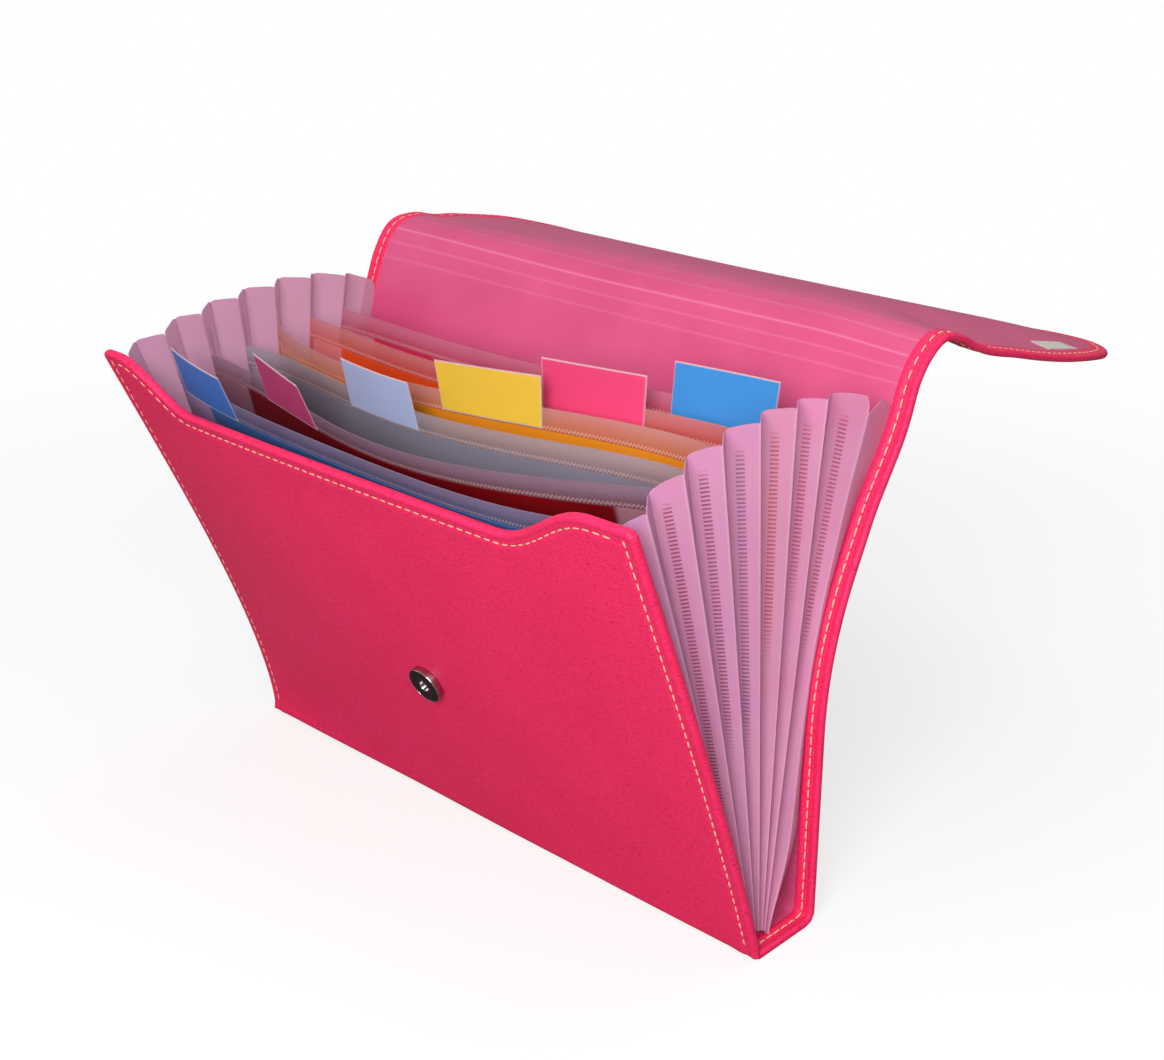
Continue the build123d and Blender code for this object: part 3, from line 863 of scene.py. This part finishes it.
def with_creases(reaches):
    """Distances along the cover with a few more beside each pale line, so that the lines stay sharp."""
    beside = CREASE_HALF * np.array([-3.0, -1.5, -0.8, 0.0, 0.8, 1.5, 3.0])
    more = (crease_lines[:, None] + beside).ravel()
    inside = more[(more > reaches[0]) & (more < reaches[-1])]
    return np.unique(np.concatenate([reaches, inside]))


def crease_mark(reach):
    """Strength of the pale lines at distances along the cover: a narrow bell at each line."""
    bells = np.exp(-(((reach[..., None] - crease_lines) / CREASE_HALF) ** 2)) * CREASE_SHADES
    return bells.max(axis=-1)


def lining_sheet(name, x, reach):
    """Sheet of lining that lies in the cover's recess, with pale lines where it creases."""
    low, high = (on_cover(x, reach, off) for off in LINING_OFFS)
    lines = np.broadcast_to(crease_mark(reach), low.shape[:2])
    return sheet_piece(name, low, high, flat_cut(x, reach), LINING, {"crease": lines})


def strip_threads(name, reaches):
    """Stitches down both sides of a strip, on its inside and its outside."""
    rows = []
    for side in (-1, 1):
        x = np.full(len(reaches), side * (HALF_WIDTH - STITCH_INSET))
        rows += sewn(on_cover, x, reaches, LEATHER_IN - THREAD_SINK, THREAD_SINK - outer_half(reaches))
    return new_piece(name, *join(rows), THREAD)


def press_flat(piece, place):
    """Give a piece its own copy of its mesh; place, a point (y, z) of a leaning plane, is not used."""
    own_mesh(piece)


strip_ends = [0.0, crease_reach[0] - ROLL_CLEAR]
strip_ends += [(a + b) / 2 for a, b in zip(crease_reach, crease_reach[1:])]
strip_ends.append(crease_reach[-1] + ROLL_CLEAR)
spines = [f"spine_{number}" for number in range(1, 5)]
turn_spans = [(bend_reach - BEND_SPAN, bend_reach + BEND_SPAN)]
turn_spans += [(c - CREASE_SPAN, c + CREASE_SPAN) for c in crease_reach]
back_nodes = [f"back_{half}_{layer}" for half in ("lower", "upper") for layer in ("leather", "padding")]
strip_nodes = [["base_leather", *back_nodes], *([f"{spine}_leather"] for spine in spines), []]
back_linings = ["base_board", "back_lower_lining", "back_upper_lining"]
lining_nodes = [back_linings, *([f"{spine}_lining"] for spine in spines), []]

for number, (first, last) in enumerate(zip(strip_ends, strip_ends[1:])):
    part = "back" if number == 0 else f"roll_{number}"
    reaches = np.linspace(first, last, 110 if part == "back" else 14)
    leather = leather_strip(f"{part}_leather", reaches)
    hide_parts(*strip_nodes[number])
    laid = with_creases(np.linspace(max(first, LINING_FOOT), last, 110 if part == "back" else 24))
    lining = lining_sheet(f"{part}_lining", np.linspace(-LINING_HALF, LINING_HALF, 41), laid[:, None])
    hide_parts(*lining_nodes[number])
    threads = strip_threads(f"{part}_thread", reaches)
    for piece in (leather, lining, threads):
        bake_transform(piece)

# Flap


def on_flap(x, along, off):
    """Points on the flap: x across, along out from its crease, off towards its inside."""
    return on_cover(x, crease_reach[-1] + along, off)


def flap_grid(inset, cols=49):
    """Grid (x, along) of the flap drawn in by inset: rows run from side to side up to the far edge."""
    straight = FLAP_LENGTH - FLAP_CORNER
    sides = np.linspace(ROLL_CLEAR, straight, 26)
    angle = np.linspace(0, np.pi / 2, 22)[1:]
    radius = FLAP_CORNER - inset
    rounded = HALF_WIDTH - FLAP_CORNER + radius * np.cos(angle)
    half = np.concatenate([np.full(len(sides), HALF_WIDTH - inset), rounded])
    along = np.concatenate([sides, straight + radius * np.sin(angle)])
    return half[:, None] * np.linspace(-1, 1, cols), np.repeat(along[:, None], cols, axis=1)


def open_border(grid):
    """Left side, far edge and right side of a grid, in order."""
    return np.concatenate([grid[:, 0], grid[-1, 1:-1], grid[::-1, -1]])


def flap_edge(depth=10.0):
    """Outline of the flap from its left foot round to its right, and its inward direction, as (x, along)."""
    edge, inner = (flat_cut(*map(open_border, flap_grid(inset))) for inset in (0.0, depth))
    rows = len(flap_grid(0.0)[0])
    edge[rows:-rows, 0] = inner[rows:-rows, 0]
    return edge, (inner - edge) / depth


def make_flap_leather():
    """Flap of padded leather: two skins, joined round the edge by a rim with a groove and a turned margin."""
    x, along = flap_grid(RIM_STEPS[-1])
    rows, cols = x.shape
    count = rows * cols
    top = on_flap(x, along, FLAP_SEAT)
    bottom = on_flap(x, along, ripple(x, along) - FLAP_OUT)
    edge, inward = flap_edge()
    inside, outside = rim_profiles(RIM_STEPS, FLAP_GROOVE)
    steps = np.concatenate([RIM_STEPS[-2::-1], RIM_STEPS[1:-1]])
    offs = np.concatenate([LEATHER_IN * inside[-2::-1], FLAP_OUT * outside[1:-1]])
    place = edge[None] + inward[None] * steps[:, None, None]
    around = on_flap(place[..., 0], place[..., 1], offs[:, None])
    number = np.arange(count).reshape(rows, cols)
    border = open_border(number)
    ring = 2 * count + np.arange(len(steps) * len(border)).reshape(len(steps), len(border))
    index = np.concatenate([border[None], ring, border[None] + count])
    cap = np.concatenate([number[0], ring[:, -1], (number[0] + count)[::-1], ring[::-1, 0]])
    quads = index_quads(number)
    points = np.concatenate([skin.reshape(-1, 3) for skin in (top, bottom, around)])
    flat = flat_cut(x, along).reshape(-1, 2)
    aside = np.array([OTHER_FACE, 0.0])
    below = place + (offs < 0)[:, None, None] * aside
    uv = np.concatenate([flat, flat + aside, below.reshape(-1, 2)]) + [0.0, crease_reach[-1]]
    faces = [quads, quads[:, ::-1] + count, index_quads(index), cap[None]]
    return new_piece("flap_leather_cover", points, faces, LEATHER, uv)


flap_leather = make_flap_leather()
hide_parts("flap_leather", "flap_padding")

flap_x, flap_along = flap_grid(MARGIN - LINING_TUCK)
flap_lining = lining_sheet("flap_lining_sheet", flap_x, crease_reach[-1] + flap_along)
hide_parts("flap_lining")

flap_line, flap_inward = flap_edge()
seam = (flap_line + flap_inward * STITCH_INSET).T
flap_rows = sewn(on_flap, *seam, LEATHER_IN - THREAD_SINK, THREAD_SINK - FLAP_OUT)
flap_thread = new_piece("flap_thread", *join(flap_rows), THREAD)
for piece in (flap_leather, flap_lining, flap_thread):
    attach(piece, "flap")

# Front cover


def front_top(x):
    """Height of the front cover's top edge at x: level corners, an eased slope, and a dip between."""
    level, slope = (np.where(x > 0, right, left) for right, left in zip(RIGHT_EAR, LEFT_EAR))
    share = np.clip((HALF_WIDTH - level - np.abs(x)) / slope, 0, 1)
    return FRONT_HEIGHT - FRONT_DIP * (1 - np.cos(np.pi * share)) / 2


def front_bulge(x, along):
    """Front cover off its flat plane: hollow towards its sides, full in the middle, dimpled at the snap."""
    share = np.clip(along / FRONT_HEIGHT, 0, 1)
    hollow = -FRONT_HOLLOW * np.sin(np.pi * share**0.75)
    full = FRONT_SWELL * (1 - (x / HALF_WIDTH) ** 2) * np.sin(np.pi * share)
    left = np.clip((-x - LEFT_PRESS_FROM) / (HALF_WIDTH - LEFT_PRESS_FROM), 0, 1)
    pressed = -LEFT_PRESS * left**2 * np.sin(np.pi * share**0.6)
    dimple = -DIMPLE_DEPTH * np.exp(-(x**2 + (along - SNAP_HEIGHT) ** 2) / DIMPLE_RADIUS**2)
    return hollow + full + pressed + dimple


def on_front(x, along, off):
    """Points on the front cover: x across, along up it from its hinge, off it towards the front."""
    return on_panel(FRONT_AXIS, FRONT_LEAN, x, along, off + front_bulge(x, along))


def rounded_corner(x, along):
    """Draw the top corners in: the square of the corner is mapped on to a quarter round."""
    side = np.clip(np.abs(x) - (HALF_WIDTH - FRONT_CORNER), 0, FRONT_CORNER)
    rise = np.clip(along - (FRONT_HEIGHT - FRONT_CORNER), 0, FRONT_CORNER)
    length = np.maximum(np.hypot(side, rise), 1e-9)
    scale = np.where((side > 0) & (rise > 0), np.maximum(side, rise) / length, 1.0)
    return x - np.sign(x) * side * (1 - scale), along - rise * (1 - scale)


def make_front_leather():
    """Front cover: two skins on a grid that follows the sides and the dipped top, meeting in a round rim."""
    x = stations(61, 15.0)
    foot = np.array([*ROUND_STEPS, 4.0, 7.0]) / (FRONT_HEIGHT + RIM_RADIUS)
    head = 1 - RIM_STEPS[::-1] / (FRONT_HEIGHT + RIM_RADIUS)
    rows = np.concatenate([foot, np.linspace(foot[-1], head[0], 40)[1:-1], head])
    share, across = np.meshgrid(rows, x, indexing="ij")
    top = front_top(across)
    along = -RIM_RADIUS + share * (top + RIM_RADIUS)
    from_top = (top - along) / np.hypot(1, np.gradient(front_top(x), x))
    from_foot = along + RIM_RADIUS
    nearest = np.minimum(from_top, HALF_WIDTH - np.abs(across))
    height = rim_height(nearest, FRONT_HALF, FRONT_GROOVE) * rim_height(from_foot, 1.0, 0.0)
    height = np.maximum(height - FRONT_THINNING * smooth((nearest - THINNING_FROM) / THINNING_RUN), 0.0)
    uneven = ripple(across, along) * smooth((nearest - MARGIN) / RIPPLE_EASE)
    stepped = margin_step(nearest) * smooth((from_foot - FOOT_MARGIN) / FOOT_EASE)
    seat = height - FRONT_SEAT_DROP * stepped
    drawn = rounded_corner(across, along)
    points, faces = slab(on_front(*drawn, -seat), on_front(*drawn, height + uneven))
    flat = flat_cut(across, along).reshape(-1, 2)
    uv = np.concatenate([flat + [OTHER_FACE, 0], flat])
    return new_piece("front_leather_cover", points, faces, LEATHER, uv)


front_leather = make_front_leather()
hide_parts("front_leather", "front_padding")

front_x = np.linspace(-FRONT_LINING_HALF, FRONT_LINING_HALF, 53)
lining_height = front_top(front_x) - MARGIN - FRONT_LINING_FOOT
front_along = FRONT_LINING_FOOT + np.linspace(0, 1, 40)[:, None] * lining_height
front_skins = [on_front(front_x, front_along, off) for off in FRONT_LINING_OFFS]
uncreased = {"crease": np.zeros(front_along.shape)}
front_cut = flat_cut(front_x, front_along)
front_lining = sheet_piece("front_lining_sheet", *front_skins, front_cut, LINING, uncreased)
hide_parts("front_lining")

front_face = FRONT_HALF - THREAD_SINK
side_along = np.linspace(SIDE_SEAM_CLEAR[0], FRONT_HEIGHT - SIDE_SEAM_CLEAR[1], 120)
side_x = np.full(len(side_along), HALF_WIDTH - STITCH_INSET)
seam_x = np.linspace(TOP_SEAM_CLEAR[0] - HALF_WIDTH, HALF_WIDTH - TOP_SEAM_CLEAR[1], 200)
seam_slope = np.gradient(front_top(seam_x), seam_x)
seam_along = front_top(seam_x) - STITCH_INSET * np.hypot(1, seam_slope)
front_rows = []
for x, along in ((side_x, side_along), (-side_x, side_along), (seam_x, seam_along)):
    front_rows += sewn(on_front, x, along, front_face, -front_face)
front_thread = new_piece("front_thread", *join(front_rows), THREAD)
for piece in (front_leather, front_lining, front_thread):
    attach(piece, "front_cover")
    press_flat(piece, on_front(0.0, SNAP_HEIGHT, front_face)[1:])

# Dividers, coloured sheets and tabs


def divider_place(number):
    """Foot point and lean of a divider's flat plane, and the direction back from it, in (y, z)."""
    lean = FRONT_LEAN - POCKET_ANGLE * number
    back = np.array([np.cos(np.radians(lean)), np.sin(np.radians(lean))])
    return FRONT_AXIS + (FIRST_OFFSET + OFFSET_PITCH * (number - 1)) * back, lean, back


def divider_bow(number, x, along):
    """How far a divider bows off its plane: none at its sides and foot, most at the top, off centre."""
    full, slant, turn = BOWS[number - 1]
    share = np.clip(x / DIVIDER_HALF, -1, 1)
    degrees = (1 - share**2) * (full + slant * share + turn * share**2)
    return DIVIDER_TOP * np.tan(np.radians(degrees)) * np.clip(along / DIVIDER_TOP, 0, 1.2) ** BOW_POWER


def on_divider(number, x, along, off):
    """Points on a bowed divider: x across, along up it, off its face towards the front."""
    foot, lean, _ = divider_place(number)
    return on_panel(foot, lean, x, along, off + divider_bow(number, x, along))


def flatten(piece, number):
    """Ride on the divider, with its own copy of its mesh."""
    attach(piece, f"divider_{number}")
    foot, lean, back = divider_place(number)
    press_flat(piece, foot + SHUT_BACK * back)


def sheet_top(number, x):
    """Height of a divider's top edge at x: it slants a little from side to side."""
    return DIVIDER_TOP + LIFTS[number - 1] + TILTS[number - 1] * x


def sheet_grid(number, half, low, drop, rows):
    """Grid on a divider up to a drop below its top edge: x, height up the divider, and the top's height."""
    x, share = np.meshgrid(np.linspace(-half, half, 73), np.linspace(0, 1, rows))
    top = sheet_top(number, x)
    return x, low + share * (top - drop - low), top


def divider_piece(name, number, grid, offs, material, node=None, marks=None):
    """Thin sheet between two distances off a bowed divider, that rides on it.

    grid holds x, the height up the divider and the height from which the cut is measured down.
    """
    x, along, top = grid
    skins = (on_divider(number, x, along, off) for off in offs)
    piece = sheet_piece(f"{name}_{number}", *skins, flat_cut(x, along - top), material, marks)
    if node:
        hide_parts(f"{node}_{number}")
    flatten(piece, number)


def make_sheets(number):
    """Frosted film of a divider, and the coloured sheet welded to its front a little below its top edge."""
    tint = SHEET_COLOURS[number - 1]
    film = film_material(f"frosted_film_{number}", FILM_COLOURS[number - 1], tint)
    grid = sheet_grid(number, DIVIDER_HALF, DIVIDER_START, 0.0, 49)
    divider_piece("divider_film", number, grid, FILM_OFFS, film, "divider_sheet")
    colour = sheet_material(f"colour_{number}", tint, 0.45)
    grid = sheet_grid(number, COLOUR_HALF, COLOUR_START, COLOUR_DROP, 47)
    divider_piece("colour_film", number, grid, COLOUR_OFFS, colour, "colour_sheet")


def tab_grid(number, cols, rows, inset_x, inset_y):
    """Grid on a divider's tab, drawn in from its edges: x, height up it, and shares across and up."""
    u, v = np.meshgrid(np.linspace(-1, 1, cols), np.linspace(0, 1, rows))
    middle = FIRST_TAB_X + TAB_PITCH * (number - 1) + TAB_SHIFTS[number - 1]
    x = middle + u * (TAB_WIDTH / 2 - inset_x)
    bottom = sheet_top(number, x) + TAB_RISE - TAB_HEIGHT
    return x, bottom + inset_y + v * (TAB_HEIGHT - 2 * inset_y), u, v


def make_tab(number):
    """Tab: a folded clear sleeve with saw-toothed welds at top and bottom, and a coloured card inside it."""
    x, along, u, v = tab_grid(number, 2 * TAB_TEETH + 1, 25, 0, 0)
    tooth = TOOTH_DEPTH * (np.arange(2 * TAB_TEETH + 1) % 2)
    along = along - tooth * (v == 1) + tooth * (v == 0)
    sides = TAB_SIDE_MILK * smooth((np.abs(u) - TAB_SIDE_EDGE) / TAB_EDGE_EASE)
    welds = smooth((np.abs(v - 0.5) - TAB_WELD_EDGE) / TAB_EDGE_EASE)
    edge = np.maximum(sides, welds)
    for side, (near, far) in TAB_WALLS.items():
        pinch = (far - TAB_MIDDLE) * edge * TAB_PINCH
        walls = (near - pinch, far - pinch)
        grid = (x, along, DIVIDER_TOP)
        node = "tab_sleeve" if side == "front" else None
        divider_piece(f"tab_sleeve_{side}", number, grid, walls, SLEEVE, node, {"edge": edge})
    paper = sheet_material(f"card_{number}", CARD_COLOURS[number - 1])
    grid = (*tab_grid(number, 25, 13, *CARD_INSETS)[:2], DIVIDER_TOP)
    divider_piece("tab_paper", number, grid, CARD_OFFS, paper, "tab_card")


for number in range(1, DIVIDERS + 1):
    make_sheets(number)
    make_tab(number)

# Gusset pleats


def pleat_edge(number, x, along):
    """Edge line of a pocket wall at a height: 0 is the front cover, 1 to 6 the dividers, 7 the back cover."""
    if number == 0:
        return on_front(x, along, -FRONT_GAP)
    foot, lean, _ = divider_place(min(number, DIVIDERS))
    if number <= DIVIDERS:
        return on_panel(foot, lean, x, along, 0.0)
    near = on_panel(foot, lean, x, along, -LAST_GAP)
    back = on_cover(x, back_foot + along, BACK_GAP)
    return near + (back - near) * smooth(along / BACK_JOIN)[..., None]


def quarter_round(share, drop):
    """Fall of a rounded corner: drop at share 0, none from share 1, along a quarter ellipse."""
    return drop * (1 - np.sqrt(np.clip(1 - (1 - np.clip(share, 0, 1)) ** 2, 0, 1)))


def pleat_top(pocket, side, u, leg):
    """Height of a pleat's top: it climbs over the front leg from the pleat before, with rounded corners.

    The rear leg of the last pleat is square at its fold on the left and falls towards its fold on the right.
    """
    before, high = PLEAT_TOPS[side][pocket - 1 : pocket + 1]
    last = pocket > DIVIDERS
    front_wall, fold_corner, rear_wall = LAST_CORNERS[side] if last else PLEAT_CORNERS[side]
    fore, rear = (quarter_round(leg / r, drop) for r, drop in zip(WALL_ROUNDS, (front_wall, rear_wall)))
    walls = np.where(u < 0.5, fore, rear)
    fold = quarter_round((1 - leg) / FOLD_ROUND, fold_corner)
    if last:
        fall = np.clip(2 * leg - 1, 0, 1) if side > 0 else 0.0
        fold = quarter_round((1 - leg) / LAST_FOLD_ROUND, fold_corner)
        fold = np.where(u < 0.5, fold, fold_corner * fall)
    return np.interp(u, [0, 0.25, 0.5, 1], [before, (before + 2 * high) / 3, high, high]) - walls - fold


def make_pleat(pocket, side):
    """One V of the gusset: two legs from the pocket's walls out to a fold.

    Across, u runs from the front wall over the fold at a half to the rear wall, and v up from foot to top.
    Returns points, faces, flat cut and marks.
    """
    front = np.array([*NEAR_WALL, *np.linspace(0.18, 0.4, 7), *NEAR_FOLD])
    u = np.concatenate([front, 1 - front[-2::-1]])
    v = np.linspace(0, 1, PLEAT_ROWS)[:, None]
    leg = 1 - np.abs(2 * u - 1)
    last = pocket > DIVIDERS
    along = PLEAT_START + v * (pleat_top(pocket, side, u, leg) - PLEAT_START)

    def over_legs(front, fold, rear):
        return np.interp(u, [0, 0.5, 1], [front, fold, rear])

    rear_in = LAST_PLEAT_IN if last else PLEAT_IN
    fore = pleat_edge(pocket - 1, side * PLEAT_IN, along)
    rear = pleat_edge(pocket, side * rear_in, along * LAST_RISE - LAST_DROP if last else along)
    middle = fore + (rear - fore) * over_legs(0, FOLD_SHARES[side][pocket - 1], 1)[:, None]
    swell = PLEAT_SWELL * np.sin(np.pi * leg) * np.sin(np.pi * v)
    out = over_legs(PLEAT_IN, PLEAT_IN, rear_in) + over_legs(0, PLEAT_DEPTHS[side], 0)
    middle[..., 0] = side * (out + swell)
    normal = unit(np.cross(np.gradient(middle, axis=1), np.gradient(middle, axis=0)))
    points, faces = slab(middle - normal * PLEAT_HALF, middle + normal * PLEAT_HALF)
    leg_length = reach_along(middle[PLEAT_ROWS // 2])[len(u) // 2]
    from_ladder = np.where(u <= 0.5, u - LADDER_SHARE, u - 0.75) * 2 * leg_length
    flat = flat_cut(from_ladder, along).reshape(-1, 2)
    below = 1 - smooth((along - PLEAT_TOPS[side][pocket] + LADDER_TOP) / 2)
    weld = ((u <= 0.5) & (pocket > 1)) * smooth((along - LADDER_FEET[pocket - 1]) / LADDER_FADE) * below
    fold = np.broadcast_to(np.exp(-(((1 - leg) / FOLD_LINE) ** 2)), along.shape)
    # Marks the skin that faces into the folder, which the film material darkens with painted shade.
    inside = np.repeat([side > 0, side < 0], along.size)
    marks = {"weld": np.tile(weld.ravel(), 2), "fold": np.tile(fold.ravel(), 2), "inside": inside}
    return points, faces, np.tile(flat, (2, 1)), marks


def pleat_pair(pocket):
    """The pleats of one pocket on both sides, a little taller from pocket to pocket."""
    left, right = (make_pleat(pocket, side) for side in (-1, 1))
    mesh = join([left[:2], right[:2]])
    uv = np.concatenate([left[2], right[2]])
    marks = {mark: np.concatenate([left[3][mark], right[3][mark]]) for mark in left[3]}
    film = pleat_material(f"frosted_pleat_{pocket}", PLEAT_TINTS[pocket - 1], BAR_COLOURS[pocket - 1])
    return new_piece(f"gusset_{pocket}", *mesh, film, uv, marks)


for pocket in range(1, DIVIDERS + 2):
    piece = pleat_pair(pocket)
    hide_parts(f"pleats_{pocket}")
    flatten(piece, min(pocket, DIVIDERS))

# Snap and label tape


def turned_piece(name, profile, place, material, sides=48):
    """Surface of revolution: profile of (radius, height), closed at both poles.

    place maps its own (x, along, off) to the part's frame.
    """
    angle = np.arange(sides) * 2 * np.pi / sides
    radius, height = np.array(profile, float).T[:, :, None]
    round_x, round_y = radius[1:-1] * np.cos(angle), radius[1:-1] * np.sin(angle)
    ring = np.stack(np.broadcast_arrays(round_x, round_y, height[1:-1]), axis=-1)
    poles = np.array([[0, 0, height[0, 0]], [0, 0, height[-1, 0]]])
    points = np.concatenate([ring.reshape(-1, 3), poles])
    count = len(ring) * sides
    first = np.arange(sides)
    after = (first + 1) % sides
    fans = [
        np.stack([np.full(sides, count), after, first], axis=-1),
        np.stack([np.full(sides, count + 1), first + count - sides, after + count - sides], axis=-1),
    ]
    faces = [grid_quads(len(ring), sides, ring=True), np.concatenate(fans)]
    return new_piece(name, place(*points.T), faces, material)


def on_snap(x, along, off):
    """Round the snap's centre on the front cover's flat plane."""
    return on_panel(FRONT_AXIS, FRONT_LEAN, x, along + SNAP_HEIGHT, off)


def on_stud(x, along, off):
    """Round the stud's centre on the flap's inner face."""
    return on_flap(x, along + STUD_ALONG, off)


cup_profile = [(0, 2.6), (2.6, 2.6), (2.75, 2.8), (2.75, 5.3), (2.9, 5.5), (3.3, 5.5), (3.4, 5.4)]
cup_profile += [(8.7, 5.4), (8.8, 5.55), (9.0, 5.55), (9.2, 5.35), (9.25, 5.0)]
cup_profile += [(9.25, 2.4), (9.0, 1.6), (0, 1.4)]
snap_cup = turned_piece("snap_cup_turned", cup_profile, on_snap, [METAL, FACE])
facing = np.zeros(3 * len(snap_cup.data.polygons))
snap_cup.data.polygons.foreach_get("normal", facing)
front_way = np.array([0, -np.cos(np.radians(FRONT_LEAN)), -np.sin(np.radians(FRONT_LEAN))])
flat_face = (facing.reshape(-1, 3) @ front_way > 0.99).astype(int)
snap_cup.data.polygons.foreach_set("material_index", flat_face)
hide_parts("snap_cup", "snap_magnet", "snap_cup_washer")
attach(snap_cup, "front_cover")

stud_profile = [(0, 4.9), (1.6, 4.9), (2.2, 4.7), (2.4, 4.2), (2.4, 2.7), (2.7, 2.35)]
stud_profile += [(8.4, 2.2), (9.1, 1.9), (9.25, 1.4), (9.1, -0.2), (0, -0.2)]
snap_stud = turned_piece("snap_stud_turned", stud_profile, on_stud, METAL)
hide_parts("snap_stud", "snap_stud_washer")
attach(snap_stud, "flap")

tape_u, tape_v = np.meshgrid(np.linspace(-0.5, 0.5, 9), np.linspace(-0.5, 0.5, 23))
tape_x, tape_along = TAPE_MIDDLE[0] + tape_u * TAPE_SIZE[0], TAPE_MIDDLE[1] + tape_v * TAPE_SIZE[1]
tape_skins = [on_flap(tape_x, tape_along, off) for off in TAPE_OFFS]
tape = new_piece("label_tape_bare", *slab(*tape_skins), TAPE)
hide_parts("label_tape")
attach(tape, "flap")

# Floor, light and camera


def make_floor():
    """Wide pale floor that the camera sees nearly white, apart from the object's shadow."""
    u, v = np.meshgrid(np.linspace(-FLOOR_HALF, FLOOR_HALF, 5), np.linspace(-FLOOR_HALF, FLOOR_HALF, 5))
    points = np.stack([u, v, np.full(u.shape, -FLOOR_DROP)], axis=-1)
    material, tree, shader = new_material("pale_floor")
    ray = add(tree, "ShaderNodeLightPath").outputs
    seen = maths(tree, "MAXIMUM", ray["Is Camera Ray"], ray["Is Transmission Ray"])
    reach = add(tree, "ShaderNodeVectorMath", set_operation="LENGTH", i0=object_place(tree)).outputs["Value"]
    share = times(tree, seen, ranged(tree, band(tree, reach, 0.25, 1.0), 0.7, 0.3))
    dress(shader, mixed(tree, seen, paint(132, 132, 132), paint(250, 250, 250)), 0.9, 0.0)
    glow = add(tree, "ShaderNodeEmission", Color=(1, 1, 1, 1), Strength=1.0)
    both = add(tree, "ShaderNodeMixShader", i0=share, i1=shader.outputs[0], i2=glow.outputs[0])
    socket(tree.nodes["Material Output"], "Surface", both.outputs[0])
    floor = new_piece("floor", points, [grid_quads(5, 5)], material, turn=False)


def area_light(name, spot, aim, size, power):
    """Soft square lamp at a spot, turned to face aim; metres and watts."""
    data = bpy.data.lights.new(name, "AREA")
    data.size = size
    data.energy = power
    lamp = bpy.data.objects.new(name, data)
    lamp.location = spot
    way = np.array(spot) - np.array(aim)
    lamp.rotation_euler = (np.arctan2(np.hypot(way[0], way[1]), way[2]), 0, np.arctan2(way[0], -way[1]))
    bpy.context.scene.collection.objects.link(lamp)


make_floor()
area_light("key", (0.6, -0.84, 0.66), (0, 0, 0.12), 0.6, 14.5)
area_light("top", (0.1, 0.5, 1.7), (0, 0.05, 0.12), 1.2, 7)
area_light("fill", (-1.5, -0.9, 1.2), (0, 0, 0.12), 1.2, 2.5)

world = bpy.data.worlds.new("studio")
bpy.context.scene.world = world
world.use_nodes = True
sky = world.node_tree.nodes["Background"]
seen_direct = add(world.node_tree, "ShaderNodeLightPath").outputs["Is Camera Ray"]
socket(sky, "Color", (1, 1, 1, 1))
socket(sky, "Strength", ranged(world.node_tree, seen_direct, 0.38, 0.62))

camera_data = bpy.data.cameras.new("camera")
camera_data.sensor_width = 36.0
camera_data.lens = 54.07
camera = bpy.data.objects.new("camera", camera_data)
camera.location = (0.53417, -0.51573, 0.44133)
camera.rotation_euler = np.radians((68.14, 0.0, 43.567))
bpy.context.scene.collection.objects.link(camera)
bpy.context.scene.camera = camera
bpy.context.scene.view_settings.view_transform = "Standard"
